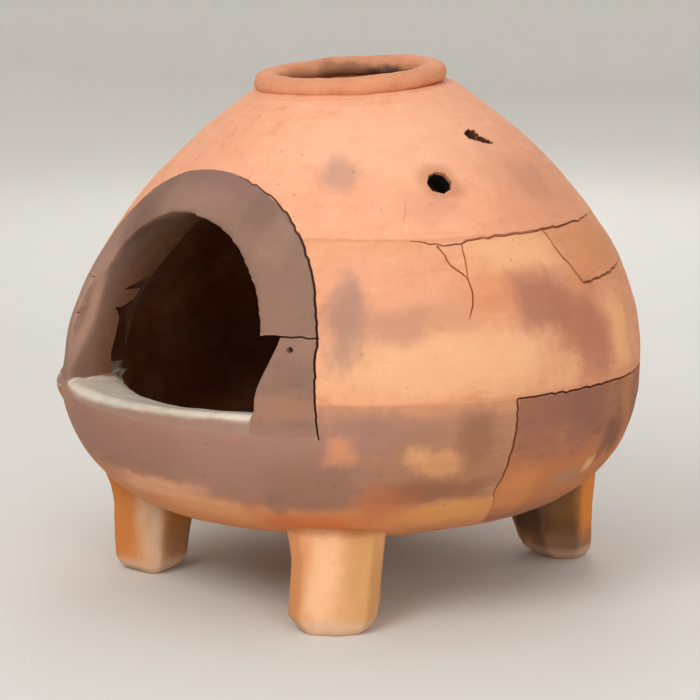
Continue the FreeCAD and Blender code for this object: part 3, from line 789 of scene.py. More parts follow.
# %% The shape of each foot
# rings: height, then low and high limits round the pot and away from the pot, in millimetres
FEET = {
    "foot_front_right": (
        [(-1, -0.55), (-1, 0.55), (-0.72, 0.92), (0.12, 1), (0.78, 0.85), (1, 0.45), (1, -0.55),
         (0.68, -1), (-0.68, -1)],
        [(0, -31, 28, -26, 49), (5, -35, 33, -32, 51), (14, -42.5, 38, -36, 51), (40, -41, 39.5, -37, 45),
         (62, -40, 41.5, -38, 38), (78, -43, 43, -39, 29), (90, -47, 45, -41, 21), (120, -50, 48, -43, 12)],
    ),
    "foot_front_left": (
        [(1, 0.12), (1, -0.30), (0.30, -1), (-0.70, -1), (-1, -0.5), (-1, 0.5), (-0.60, 1), (0.35, 1)],
        [(0, -26, 33, -19, 20), (6, -33, 38, -28, 31), (13, -36, 40, -33, 35), (40, -37, 41, -37, 36.5),
         (66, -38, 41, -41, 36.5), (85, -40, 42, -43, 39), (100, -42, 44, -45, 45), (120, -44, 46, -47, 54)],
    ),
    "foot_rear_right": (
        [(-1, 0.50), (-1, -0.42), (-0.35, -1), (0.6, -1), (1, -0.5), (1, 0.6), (0.5, 1), (-0.4, 1)],
        [(0, -18, 30, -8, 36), (6, -26, 35, -18, 39), (13, -33, 37, -28, 40), (40, -36, 38, -37, 40),
         (66, -38, 39, -45, 40.5), (85, -40, 41, -49, 42), (100, -42, 43, -51, 45), (120, -44, 45, -52, 54)],
    ),
    "foot_rear_left": (
        [(-1, 0.55), (-1, -0.5), (-0.5, -1), (0.45, -1), (1, -0.45), (1, 0.5), (0.6, 1), (-0.5, 1)],
        [(0, -27, 26, -20, 33), (7, -34, 33, -28, 37), (15, -37, 36, -34, 39), (40, -37, 37, -37, 39),
         (66, -38, 38, -39, 40), (85, -40, 40, -42, 42), (100, -42, 42, -45, 46), (120, -44, 44, -47, 54)],
    ),
}


def foot_ring(name, polygon, centre, outward, ring):
    """One ring of a foot: its polygon stretched between the limits, turned to face outward."""
    height, low, high, inner, outer = [v / 1000 for v in ring]
    around = Vector((-outward.y, outward.x, 0))
    points = []
    for a, b in polygon:
        across = low + (high - low) * (a + 1) / 2
        deep = inner + (outer - inner) * (b + 1) / 2
        points.append(centre + around * across + outward * deep + Vector((0, 0, height)))
    return loop(name, points)


FOOT_LAP = 0.003
# how far a foot stands off the middle of its node
SET_FEET = {"foot_front_right": (0.0055, -0.0055, 0), "foot_front_left": (0.0125, -0.0040, 0)}


def foot(node, polygon, rings):
    low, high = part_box(node)
    centre = Vector(((low.x + high.x) / 2, (low.y + high.y) / 2, 0))
    outward = centre.normalized()
    centre += Vector(SET_FEET.get(node, (0, 0, 0)))
    loops = [foot_ring(f"{node}_{n}", polygon, centre, outward, ring) for n, ring in enumerate(rings)]
    only(loops[0])
    for other in loops[1:]:
        other.select_set(True)
    bpy.ops.object.join()
    obj = bpy.context.object
    obj.name = node + "_clay"
    edit(obj, bpy.ops.mesh.bridge_edge_loops)
    edit(obj, lambda: bpy.ops.mesh.fill_holes(sides=12), close_up)
    soften(obj, 0.0020, 4)
    lumps(obj, node + "_swellings", 0.028, 0.0016)
    cut(obj, turned("bowl_core", [(0, BASE_Z + FOOT_LAP)] + outline(FOOT_LAP) + [(0, 0.45)]))
    cut(obj, box("floor_cut", (-1, -1, -0.05), (1, 1, 0.0)))
    return obj


feet = {node: foot(node, polygon, rings) for node, (polygon, rings) in FEET.items()}
print({node: len(obj.data.polygons) for node, obj in feet.items()})

# %% [markdown]
# ## Ash
#
# A few centimetres of ash insulate the floor of the bowl.  It is a turned cushion, higher where the
# last fire stood, and rough on top.

# %% Ash bed
ash_low, ash_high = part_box("ash_bed")
ash_bed = turned("ash_bed_heap", [
    (0, ash_low.z + 0.0005), (ash_high.x - 0.004, ash_low.z + 0.0005), (ash_high.x, ash_low.z + 0.006),
    (ash_high.x - 0.014, ash_low.z + 0.019), (0.060, ash_high.z - 0.006), (0, ash_high.z - 0.002),
], steps=96)
soften(ash_bed, 0.003, 4)
lumps(ash_bed, "ash_heaps", 0.045, 0.009, axis="Z")
lumps(ash_bed, "ash_crumbs", 0.008, 0.003)
print("ash:", len(ash_bed.data.polygons), "faces")

# %% [markdown]
# ## What each point knows
#
# The clay grows darker deep inside, partly as soot and partly as painted shade, and a fresh break
# shows raw clay.  Each point of the clay therefore keeps two numbers as attributes that the materials
# read: how far it lies behind the pot's outer face, and how far its surface turns away from that face.


# %% Depth behind the outer face
def measure_depth(obj):
    places = read_places(obj)
    z = places[:, 2]
    shift = lean(z)
    radius = np.hypot(places[:, 0] - shift, places[:, 1] - shift)
    reach = np.hypot(radius - SHOULDER_X, z - MID_Z)
    deep = SHOULDER_ARC - reach
    low = z < MID_Z
    bowl = BOWL_ARC - np.hypot(np.maximum(radius - BOWL_X, 0), z - MID_Z)
    deep[low] = bowl[low]
    high = z > SHOULDER_Z
    dome = DOME_ARC - np.hypot(radius - DOME_X, z - DOME_Z)
    deep[high] = dome[high]
    attribute = obj.data.attributes.new("depth", "FLOAT", "POINT")
    attribute.data.foreach_set("value", deep)
    outward = np.stack([radius - np.where(low, BOWL_X, np.where(high, DOME_X, SHOULDER_X)),
                        z - np.where(high, DOME_Z, MID_Z)], axis=1)
    outward /= np.linalg.norm(outward, axis=1)[:, None]
    normals = np.empty(len(places) * 3)
    obj.data.vertex_normals.foreach_get("vector", normals)
    normals = normals.reshape(-1, 3)
    round_about = (places[:, :2] - shift[:, None]) / np.maximum(radius, 1e-6)[:, None]
    along_radius = (normals[:, :2] * round_about).sum(axis=1)
    facing = np.abs(along_radius * outward[:, 0] + normals[:, 2] * outward[:, 1])
    broken = np.clip((0.85 - facing) / 0.5, 0, 1) * (deep < 0.016)
    attribute = obj.data.attributes.new("broken", "FLOAT", "POINT")
    attribute.data.foreach_set("value", broken)


PIECES = {
    "base_bowl": base_bowl, "bowl_sherd": bowl_sherd, "belly_wall": belly_wall,
    "belly_sherd_side": belly_sherd_side, "belly_sherd_small": belly_sherd_small,
    "dome_cap": dome_cap, "arch_crown": arch_crown, "left_jamb_upper": left_jamb_upper,
    "left_jamb_lower": left_jamb_lower, "right_jamb": right_jamb, "sill_ledge": sill_ledge,
    "neck_collar": neck_collar, "rim_coil": rim_coil, "ash_bed": ash_bed, **feet,
}
for obj in PIECES.values():
    edit(obj, lambda: bpy.ops.mesh.delete_loose())
    bpy.ops.object.shade_smooth_by_angle(angle=math.radians(38))
    measure_depth(obj)
print(len(PIECES), "pieces,", sum(len(o.data.polygons) for o in PIECES.values()), "faces")

# %% [markdown]
# ## Colours of fired clay
#
# The clay itself is one colour.  What the eye sees is mostly the fire: pale and pink where flames were
# clean, mauve-grey where smoke touched the pot, orange where the heat was fierce.  Some clouds and the
# darkening inside are partly painted shade, and the pale rub on edges is partly painted highlight.  The
# materials are built the same way, from one body colour over which clouds of other colours are laid.


# %% Colour and node helpers
def tint(code, strength=1.0):
    """A six-figure sRGB code as the linear colour that a shader wants."""
    parts = [int(code[n:n + 2], 16) / 255 for n in (0, 2, 4)]
    linear = [p / 12.92 if p <= 0.04045 else ((p + 0.055) / 1.055) ** 2.4 for p in parts]
    return (*[strength * p for p in linear], 1.0)


def new_group(name, inputs, outputs):
    """A node group with its sockets: returns the tree, its input node and its output node."""
    tree = bpy.data.node_groups.new(name, "ShaderNodeTree")
    for label, kind, value in inputs:
        socket = tree.interface.new_socket(label, in_out="INPUT", socket_type=kind)
        socket.default_value = value
    for label, kind in outputs:
        tree.interface.new_socket(label, in_out="OUTPUT", socket_type=kind)
    return tree, tree.nodes.new("NodeGroupInput"), tree.nodes.new("NodeGroupOutput")


def node(tree, kind, settings=None, **inputs):
    """A node with its settings; an input is a number, a colour or another node's socket."""
    made = tree.nodes.new(kind)
    for key, value in (settings or {}).items():
        setattr(made, key, value)
    for key, value in inputs.items():
        socket = made.inputs[int(key[1:])] if key[1:].isdigit() else made.inputs[key.replace("_", " ")]
        if isinstance(value, bpy.types.NodeSocket):
            tree.links.new(value, socket)
        else:
            socket.default_value = value
    return made


def tree_of(*values):
    """The node tree that the first socket among some values belongs to."""
    return next(value.id_data for value in values if isinstance(value, bpy.types.NodeSocket))


def maths(operation, first, second=0.0, clamp=False):
    settings = {"operation": operation, "use_clamp": clamp}
    return node(tree_of(first, second), "ShaderNodeMath", settings, i0=first, i1=second).outputs[0]


def plus(first, second, clamp=False):
    return maths("ADD", first, second, clamp)


def minus(first, second):
    return maths("SUBTRACT", first, second)


def times(first, second):
    return maths("MULTIPLY", first, second)


def weighed(total, *parts):
    """A number plus some values, each with its weight."""
    for value, weight in parts:
        total = plus(total, times(value, weight))
    return total


def vectors(operation, first, second=(0, 0, 0)):
    settings = {"operation": operation}
    made = node(tree_of(first, second), "ShaderNodeVectorMath", settings, i0=first, i1=second)
    return made.outputs["Value" if operation == "LENGTH" else "Vector"]


def ramp(value, low, high, start=0.0, end=1.0):
    """A smooth step of a value from start at low to end at high."""
    settings = {"interpolation_type": "SMOOTHSTEP", "clamp": True}
    made = node(
        tree_of(value), "ShaderNodeMapRange", settings,
        Value=value, From_Min=low, From_Max=high, To_Min=start, To_Max=end,
    )
    return made.outputs[0]


def blend(factor, first, second):
    settings = {"data_type": "RGBA", "blend_type": "MIX", "clamp_factor": True}
    return node(tree_of(factor), "ShaderNodeMix", settings, i0=factor, i6=first, i7=second).outputs[2]


def noise(place, scale, detail=3.0, roughness=0.55, warp=0.0):
    made = node(
        tree_of(place), "ShaderNodeTexNoise", None,
        Vector=place, Scale=scale, Detail=detail, Roughness=roughness, Distortion=warp,
    )
    return made.outputs["Fac"]


def position(tree):
    return node(tree, "ShaderNodeTexCoord").outputs["Object"]


# %% [markdown]
# ## Shared effects
#
# Five effects come back in the clays: a cloud of colour at a place, a tide line at a height, the grain
# of the clay with its wiping marks and pits, the bare clay on steep sides, and the pale rub on edges,
# which is partly wear and partly painted highlight, with painted shade in the hollows.  Each is a node
# group, built once and given its own values in each material.

# %% Cloud, band, grain, steep sides, and rub with painted highlight and hollow shade
VECTOR, FLOAT = "NodeSocketVector", "NodeSocketFloat"

cloud_group, taken, given = new_group(
    "colour_cloud",
    [("Centre", VECTOR, (0, 0, 0)), ("Size", VECTOR, (0.05, 0.05, 0.05)), ("Ragged", FLOAT, 0.6),
     ("Softness", FLOAT, 0.5), ("Seed", FLOAT, 0.0)],
    [("Mask", FLOAT)],
)
here = position(cloud_group)
away = vectors("DIVIDE", vectors("SUBTRACT", here, taken.outputs["Centre"]), taken.outputs["Size"])
away = maths("SQRT", vectors("LENGTH", vectors("MULTIPLY", away, away)))
moved = vectors("ADD", here, taken.outputs["Seed"])
swirl = noise(moved, 19.0, 5.0, 0.62, 0.6)
brushed = noise(vectors("MULTIPLY", moved, (1, 1, 0.22)), 75.0, 3.0, 0.55, 0.4)
swirl = times(minus(weighed(swirl, (brushed, 0.5)), 0.75), taken.outputs["Ragged"])
edge = weighed(away, (swirl, 2.6))
near = minus(1.0, taken.outputs["Softness"])
far = plus(1.0, taken.outputs["Softness"])
cloud_group.links.new(ramp(edge, near, far, 1.0, 0.0), given.inputs["Mask"])

band_group, taken, given = new_group(
    "tide_band",
    [("Low", FLOAT, 0.0), ("High", FLOAT, 0.1), ("Softness", FLOAT, 0.01), ("Ragged", FLOAT, 0.01)],
    [("Mask", FLOAT)],
)
here = position(band_group)
height = node(band_group, "ShaderNodeSeparateXYZ", None, i0=here).outputs["Z"]
waver = minus(noise(here, 11.0, 4.0, 0.6, 0.5), 0.5)
height = plus(height, times(waver, taken.outputs["Ragged"]))
low_edge = plus(taken.outputs["Low"], taken.outputs["Softness"])
high_edge = minus(taken.outputs["High"], taken.outputs["Softness"])
rise = ramp(height, taken.outputs["Low"], low_edge)
fall = ramp(height, high_edge, taken.outputs["High"], 1.0, 0.0)
band_group.links.new(times(rise, fall), given.inputs["Mask"])

grain_group, taken, given = new_group(
    "clay_grain",
    [("Streaks", FLOAT, 0.5), ("Pits", FLOAT, 0.5), ("Direction", VECTOR, (1, 1, 7))],
    [("Tone", FLOAT), ("Height", FLOAT), ("Pit Mask", FLOAT), ("Roughness", FLOAT)],
)
here = position(grain_group)
streak = noise(vectors("MULTIPLY", here, taken.outputs["Direction"]), 26.0, 5.0, 0.62, 0.4)
brush = node(grain_group, "ShaderNodeMapping", None, Vector=here)
brush.inputs["Rotation"].default_value = (0.4, 0.6, 0.3)
brush.inputs["Scale"].default_value = (9, 1.6, 3.0)
stroke = noise(brush.outputs[0], 14.0, 3.0, 0.55, 0.3)
fine = noise(here, 420.0, 4.0, 0.65)
sand = noise(here, 1500.0, 2.0, 0.6)
broad = noise(here, 34.0, 4.0, 0.6, 0.3)
spots = node(
    grain_group, "ShaderNodeTexVoronoi", {"feature": "F1"}, Vector=here, Scale=105.0, Randomness=1.0,
)
chance = node(grain_group, "ShaderNodeSeparateColor", None, i0=spots.outputs["Color"]).outputs[0]
pit = times(ramp(spots.outputs["Distance"], 0.10, 0.24, 1.0, 0.0), ramp(chance, 0.90, 0.95))
pit = times(pit, taken.outputs["Pits"])
streak = times(minus(streak, 0.5), taken.outputs["Streaks"])
stroke = times(minus(stroke, 0.5), taken.outputs["Streaks"])
tone = weighed(0.5, (streak, 0.9), (stroke, 0.7), (minus(fine, 0.5), 0.22), (minus(broad, 0.5), 0.42))
grain_group.links.new(tone, given.inputs["Tone"])
relief = weighed(times(streak, 0.55), (broad, 0.7), (fine, 0.22), (sand, 0.08), (pit, -0.35))
grain_group.links.new(relief, given.inputs["Height"])
grain_group.links.new(pit, given.inputs["Pit Mask"])
matt = weighed(0.66, (broad, 0.18), (fine, 0.10))
grain_group.links.new(matt, given.inputs["Roughness"])

slope_group, taken, given = new_group(
    "steep_sides", [("Low", FLOAT, 0.3), ("High", FLOAT, 0.7)], [("Mask", FLOAT)],
)
upward = node(slope_group, "ShaderNodeNewGeometry").outputs["Normal"]
upward = node(slope_group, "ShaderNodeSeparateXYZ", None, i0=upward).outputs["Z"]
uneven = minus(noise(position(slope_group), 35.0, 4.0), 0.5)
upward = plus(upward, times(uneven, 0.5))
steep = ramp(upward, taken.outputs["Low"], taken.outputs["High"], 1.0, 0.0)
slope_group.links.new(steep, given.inputs["Mask"])

# Pale on convex edges, partly wear and partly painted highlight; darker in concave hollows, as painted
# shade.
rub_highlight_and_shade_group, taken, given = new_group(
    "rubbed_edges_highlight_and_hollow_shade", [("Amount", FLOAT, 1.0)], [("Edge", FLOAT), ("Hollow Shade", FLOAT)],
)
point = node(rub_highlight_and_shade_group, "ShaderNodeNewGeometry").outputs["Pointiness"]
worn = noise(position(rub_highlight_and_shade_group), 60.0, 3.0)
edge = times(ramp(point, 0.520, 0.600), ramp(worn, 0.30, 0.65))
rub_highlight_and_shade_group.links.new(times(edge, taken.outputs["Amount"]), given.inputs["Edge"])
hollow_shade = ramp(point, 0.400, 0.480, 1.0, 0.0)
rub_highlight_and_shade_group.links.new(times(hollow_shade, taken.outputs["Amount"]), given.inputs["Hollow Shade"])
print("groups:", [g.name for g in bpy.data.node_groups])

# %% [markdown]
# ## One recipe for all the clays
#
# A clay takes a body colour, a list of clouds and bands in the order they are laid on, most of them fire
# colours and some painted shade, and how dark its inner face grows with depth, from soot and painted shade.


# %% The clay recipe
def put(tree, group, **values):
    made = tree.nodes.new("ShaderNodeGroup")
    made.node_tree = group
    for key, value in values.items():
        made.inputs[key].default_value = value
    return made


def cloud(colour, angle, z, width, height, amount=1.0, ragged=0.55, softness=0.55):
    """A patch of colour on the pot, placed by its angle and height."""
    size = (width, width, height)
    return ("cloud", tint(colour), tuple(on_clay(angle, z)), size, amount, ragged, softness)


def flue_patch(colour, angle, z, width, height, amount):
    """A ragged patch on the inner face of the rim."""
    size = (width, width, height)
    return ("cloud", tint(colour), tuple(at(angle, FLUE_RADIUS, z)), size, amount, 1.0, 0.4)


def slope(colour, low, high, amount=1.0):
    """A colour on the steep parts only, where nothing settles."""
    return ("slope", tint(colour), low, high, amount)


def band(colour, low, high, softness=0.02, ragged=0.03, amount=1.0):
    return ("band", tint(colour), low, high, softness, ragged, amount)


def clay(name, body, pale, dark, layers=(), soot_and_shade=None, streaks=0.5, pits=0.5, bump=0.0016,
         direction=(1, 1, 7), rub_and_highlight="f0c09a", rub_and_highlight_amount=0.5, raw=None, bores=()):
    """A material of fired clay."""
    material = bpy.data.materials.new(name)
    material.use_nodes = True
    tree = material.node_tree
    shader = tree.nodes["Principled BSDF"]
    shader.inputs["Specular IOR Level"].default_value = 0.28
    grain = put(tree, grain_group, Streaks=streaks, Pits=pits, Direction=direction)
    colour = blend(ramp(grain.outputs["Tone"], 0.25, 0.52), tint(dark), tint(body))
    colour = blend(ramp(grain.outputs["Tone"], 0.50, 0.85), colour, tint(pale))
    for seed, layer in enumerate(layers):
        if layer[0] == "cloud":
            _, shade, centre, size, amount, ragged, softness = layer
            mask = put(
                tree, cloud_group,
                Centre=centre, Size=size, Ragged=ragged, Softness=softness, Seed=seed * 1.7,
            )
        elif layer[0] == "slope":
            _, shade, low, high, amount = layer
            mask = put(tree, slope_group, Low=low, High=high)
        else:
            _, shade, low, high, softness, ragged, amount = layer
            mask = put(tree, band_group, Low=low, High=high, Softness=softness, Ragged=ragged)
        wash = plus(0.72, times(grain.outputs["Tone"], 0.5), clamp=True)
        strength = times(times(mask.outputs["Mask"], amount), wash)
        colour = blend(strength, colour, shade)
    # Pale rub on edges, partly wear and partly painted highlight, then painted shade (8a5034) in the
    # hollows.
    edges = put(tree, rub_highlight_and_shade_group, Amount=1.0)
    colour = blend(times(edges.outputs["Edge"], rub_and_highlight_amount), colour, tint(rub_and_highlight))
    colour = blend(times(edges.outputs["Hollow Shade"], 0.35), colour, tint("8a5034"))
    colour = blend(times(grain.outputs["Pit Mask"], 0.55), colour, tint("8a5238"))
    rough = grain.outputs["Roughness"]
    depth, broken = [
        node(tree, "ShaderNodeAttribute", {"attribute_name": name}).outputs["Fac"]
        for name in ("depth", "broken")
    ]
    # Darker with depth behind the outer face: soot, and painted shade inside the pot, under the arch and in
    # the flue.
    if soot_and_shade:
        start, full, shade, fleck, amount = soot_and_shade
        lick = minus(noise(position(tree), 22.0, 4.0, 0.6), 0.5)
        soot_and_shade_mask = times(ramp(weighed(depth, (lick, 0.014)), start, full), amount)
        flecks = noise(position(tree), 60.0, 5.0, 0.7)
        flecks = blend(ramp(flecks, 0.38, 0.72), tint(shade), tint(fleck))
        colour = blend(soot_and_shade_mask, colour, flecks)
        rough = plus(rough, times(soot_and_shade_mask, 0.15), clamp=True)
    if raw:
        colour = blend(times(broken, 0.75), colour, tint(raw))
    # Painted shade inside the holes: the vent's bore, over its soot, and the two chips.
    for shade, angle, z, size in bores:
        mask = put(
            tree, cloud_group,
            Centre=tuple(on_clay(angle, z)), Size=(size, size, size), Ragged=0.0, Softness=0.1,
        )
        behind = maths("MAXIMUM", ramp(depth, 0.0022, 0.0050), ramp(broken, 0.20, 0.60))
        inside = times(mask.outputs["Mask"], behind)
        colour = blend(inside, colour, tint(shade))
    tree.links.new(colour, shader.inputs["Base Color"])
    tree.links.new(rough, shader.inputs["Roughness"])
    raised = node(tree, "ShaderNodeBump", None, Strength=1.0, Distance=bump, Height=grain.outputs["Height"])
    tree.links.new(raised.outputs["Normal"], shader.inputs["Normal"])
    return material


def finish_with(material, slot, *nodes):
    """Give pieces their material, hide the frame's nodes that they stand for, and let them ride."""
    for name in nodes:
        obj = PIECES[name]
        obj.data.materials.clear()
        obj.data.materials.append(material)
        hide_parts(name)
        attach(obj, "root")


# %% [markdown]
# ## Terracotta of the dome and belly
#
# The dome is an even salmon pink with a few smudges, darker towards its right-hand side, partly as
# painted shade.  The belly below it is clouded: mauve beside the surround, darker high on the right,
# partly fire clouding and partly painted shade, and cream across its middle.

# %% Terracotta
# Darkening with depth, partly soot and partly painted shade: inside the dome seen through the vent, and
# inside the mouth.
DOME_SOOT_AND_SHADE = (0.006, 0.016, "190c06", "2c160a", 0.97)
INNER_SOOT_AND_SHADE = (0.010, 0.030, "742a02", "74400a", 0.97)
terracotta = clay("terracotta_clay", "e8a480", "f2b693", "da926c", [
    cloud("f0b795", 60, 0.425, 0.090, 0.030, 0.5),
    # Darker cloud on the right of the dome: partly fire clouding, partly painted shade where the dome turns
    # from the lamps.
    cloud("d38f6c", 101, 0.3725, 0.070, 0.050, 0.55),
    cloud("b67f68", 101, 0.390, 0.022, 0.016, 0.45),
    cloud("b0714e", *VENT, 0.017, 0.014, 0.55, 0.3, 0.4),
    cloud("ad8271", 39, 0.4025, 0.015, 0.017, 0.60),
    cloud("bd8a74", 63, 0.3775, 0.024, 0.012, 0.25),
    cloud("d9946c", 185, 0.400, 0.080, 0.040, 0.6),
    cloud("b98068", 220, 0.385, 0.040, 0.020, 0.5),
    cloud("b98068", 290, 0.395, 0.026, 0.018, 0.45),
    band("cf8a66", 0.3460, 0.3512, 0.0012, 0.004, 0.50),
# The dark bore colours paint shade into the vent, over its soot, and into the chips.
], soot_and_shade=DOME_SOOT_AND_SHADE, raw="c07048", bores=[
    ("0c0502", *VENT, 0.0200), ("4a2614", *CHIP, 0.0110), ("5a321c", *CHIP_TAIL, 0.0120),
])
rim_clay = clay("rim_terracotta", "d6906a", "e4a680", "c07a54", [
    flue_patch("5e564e", 188, 0.476, 0.012, 0.007, 0.85),
    flue_patch("4a3c34", 206, 0.474, 0.010, 0.006, 0.80),
    flue_patch("8a5a3a", 232, 0.474, 0.020, 0.008, 0.75),
    flue_patch("3c2a20", 224, 0.466, 0.012, 0.004, 0.80),
    cloud("a8755a", 225, 0.4625, 0.050, 0.030, 0.35),
    # Painted shadow in the crease under the rim.
    band("b87650", 0.440, 0.4655, 0.006, 0.006, 0.45),
# Darker with depth inside the flue: soot and painted shade.
], soot_and_shade=(0.012, 0.030, "2c1a10", "7a5238", 0.90), streaks=0.4)
belly_clay = clay("belly_terracotta", "de9b74", "eab088", "c9855f", [
    cloud("e9b184", 66, 0.2475, 0.105, 0.026, 0.80),
    cloud("ecb282", 82, 0.335, 0.046, 0.015, 0.65),
    cloud("e0a080", 50, 0.3175, 0.040, 0.022, 0.50),
    cloud("9c776a", 43, 0.285, 0.017, 0.038, 0.80),
    cloud("b5826c", 52, 0.280, 0.022, 0.014, 0.65),
    cloud("c08a6e", 61, 0.2875, 0.028, 0.012, 0.50),
    cloud("d4885e", 78, 0.305, 0.034, 0.014, 0.60),
    # These three darker clouds towards the right edge are partly fire clouding and partly painted shade.
    cloud("a76e58", 85, 0.2925, 0.030, 0.022, 0.90),
    cloud("ad6e52", 94, 0.2725, 0.034, 0.030, 0.85),
    cloud("b4725a", 98, 0.245, 0.026, 0.030, 0.75),
    cloud("eeb07a", 110, 0.2525, 0.016, 0.034, 0.85),
    cloud("cf875a", 108, 0.325, 0.050, 0.030, 0.70),
    cloud("c9805a", 72, 0.295, 0.026, 0.010, 0.45),
    cloud("a87058", 150, 0.270, 0.060, 0.040, 0.70),
    cloud("f0b888", 185, 0.250, 0.080, 0.030, 0.70),
    cloud("b07a62", 225, 0.290, 0.050, 0.030, 0.70),
    cloud("d4885e", 265, 0.260, 0.050, 0.045, 0.60),
    cloud("a87e6e", 300, 0.290, 0.028, 0.040, 0.70),
    band("d08c66", 0.2050, 0.2175, 0.0030, 0.006, 0.55),
    band("cf8a66", 0.3480, 0.3560, 0.0012, 0.004, 0.45),
], soot_and_shade=INNER_SOOT_AND_SHADE, raw="c07048")
finish_with(terracotta, "terracotta", "dome_cap", "neck_collar")
finish_with(rim_clay, "terracotta", "rim_coil")
finish_with(belly_clay, "terracotta", "belly_wall", "belly_sherd_side", "belly_sherd_small")

# %% [markdown]
# ## Smoked terracotta of the bowl
#
# The bowl stood nearest the smoke.  Its front is an even mauve grey under the sill, its right side is
# patched with brown, mauve and orange, and its underside is a lighter orange.
# The broken sherd was fired again by later fires and is browner than the rest.

# %% Smoked bowl and its sherd
bowl_clay = clay("smoked_bowl_clay", "b27e60", "cb9570", "94654e", [
    band("cf9068", 0.1900, 0.2300, 0.0180, 0.020, 0.75),
    cloud("a37460", 57, 0.190, 0.050, 0.016, 0.80),
    cloud("8f6049", 69, 0.180, 0.015, 0.026, 0.80),
    cloud("a5714f", 62, 0.150, 0.060, 0.028, 0.55),
    band("d08a58", 0.0600, 0.1300, 0.0220, 0.045, 0.90),
    cloud("9a7061", 6, 0.175, 0.170, 0.040, 0.97, 0.45, 0.35),
    cloud("a07667", 28, 0.160, 0.080, 0.046, 0.85, 0.5, 0.4),
    cloud("966b58", 37, 0.140, 0.036, 0.030, 0.70),
    cloud("d48e66", 44, 0.175, 0.012, 0.014, 0.80, 0.9, 0.5),
    cloud("d8986a", 62, 0.160, 0.018, 0.010, 0.75, 0.9, 0.5),
    cloud("dca070", 58, 0.1675, 0.010, 0.009, 0.65, 0.9, 0.5),
    cloud("8f5c44", 62, 0.1325, 0.040, 0.010, 0.75),
    cloud("e09a58", 66, 0.1075, 0.050, 0.012, 0.70),
    cloud("d98c56", 26, 0.100, 0.090, 0.014, 0.70),
    cloud("cf7040", 36, 0.0975, 0.034, 0.011, 0.75),
    cloud("e2a47c", 4, 0.120, 0.050, 0.010, 0.80),
    cloud("8f6a5e", 31, 0.1175, 0.008, 0.020, 0.60),
    cloud("c27048", 52, 0.120, 0.020, 0.020, 0.55),
    cloud("e0a070", 12, 0.1075, 0.040, 0.010, 0.60),
    cloud("dccdbc", -41, 0.190, 0.022, 0.006, 0.90, 0.4, 0.3),
    cloud("8a5c4a", 150, 0.180, 0.080, 0.030, 0.70),
    cloud("c98255", 195, 0.140, 0.080, 0.030, 0.70),
    cloud("8f6658", 235, 0.170, 0.070, 0.040, 0.75),
    cloud("9a7061", 300, 0.175, 0.080, 0.040, 0.80),
], soot_and_shade=INNER_SOOT_AND_SHADE, streaks=0.6, raw="b06a42")
sherd_clay = clay("smoked_sherd_clay", "a26a50", "bd8058", "86563f", [
    band("bf7646", 0.0800, 0.1680, 0.0300, 0.040, 0.85),
    cloud("925f4d", 88, 0.200, 0.044, 0.022, 0.85),
    cloud("8c5c4e", 96, 0.190, 0.030, 0.022, 0.60),
    cloud("784a38", 108, 0.155, 0.022, 0.018, 0.80),
    cloud("c07c48", 113, 0.190, 0.016, 0.030, 0.50),
    cloud("a58062", 94, 0.125, 0.022, 0.008, 0.70),
    cloud("d8a878", 101, 0.1325, 0.008, 0.007, 0.80),
    cloud("d88c56", 80, 0.120, 0.020, 0.020, 0.50),
], soot_and_shade=INNER_SOOT_AND_SHADE, streaks=0.6, raw="b06a42")
finish_with(bowl_clay, "smoked_terracotta", "base_bowl")
finish_with(sherd_clay, "smoked_terracotta", "bowl_sherd")

# %% [markdown]
# ## Grey clay of the surround and the limed sill
#
# The surround was modelled in a greyer clay and smoked by every fire, most of all on its soffit, where
# its darkening is partly painted shade; the left side of its crown carries painted shade as well.
# The sill was washed with lime: pale where the wash settled on top, bluish where ash has lain, and
# worn back to mauve clay on its steep front.

# %% Surround and sill
# Darkening with depth on the soffit and inner faces: soot and painted shade.
SURROUND_SOOT_AND_SHADE = (0.010, 0.050, "7a4a2c", "86583a", 0.75)
surround_clay = clay("grey_surround_clay", "8b6959", "9d7b6b", "775a4c", [
    cloud("8a6560", 10, 0.3925, 0.060, 0.010, 0.65),
    cloud("a07e6e", -10, 0.3725, 0.060, 0.014, 0.45),
    cloud("a0826f", 26, 0.345, 0.014, 0.034, 0.30, 0.8, 0.4),
    cloud("7c6054", 20, 0.370, 0.014, 0.026, 0.45, 0.8, 0.4),
    # Painted shade on the left-facing side of the crown.
    cloud("6f5246", -24, 0.345, 0.030, 0.050, 0.60),
    cloud("a98670", -34, 0.270, 0.020, 0.050, 0.55),
    cloud("86685a", 33, 0.330, 0.020, 0.050, 0.40),
    cloud("b07c60", 33, 0.210, 0.030, 0.012, 0.50),
    band("9a7061", 0.1600, 0.2020, 0.0140, 0.010, 0.90),
    cloud("9c7362", 36, 0.2625, 0.030, 0.010, 0.40),
    cloud("dccdbc", -40, 0.190, 0.020, 0.007, 0.90, 0.4, 0.3),
    cloud("b08a78", -30, 0.300, 0.030, 0.060, 0.50),
], soot_and_shade=SURROUND_SOOT_AND_SHADE, streaks=0.35, rub_and_highlight="b8947f")
sill_clay = clay("limed_sill_clay", "d6c6b4", "ece0d2", "b09a86", [
    cloud("aab0ae", 10, 0.1875, 0.100, 0.010, 0.5, 0.7, 0.5),
    cloud("b99f7c", 10, 0.195, 0.050, 0.004, 0.35),
    slope("987060", 0.10, 0.62, 0.95),
# Greyer with depth at the back of the sill, inside the mouth: soot and painted shade; the pale rub on the
# lip is partly painted highlight.
], soot_and_shade=(0.050, 0.080, "6b6258", "8a8076", 0.6), streaks=0.4, rub_and_highlight="eadccd", rub_and_highlight_amount=0.15)
finish_with(surround_clay, "grey_clay", "arch_crown", "left_jamb_upper", "left_jamb_lower", "right_jamb")
finish_with(sill_clay, "limed_clay", "sill_ledge")

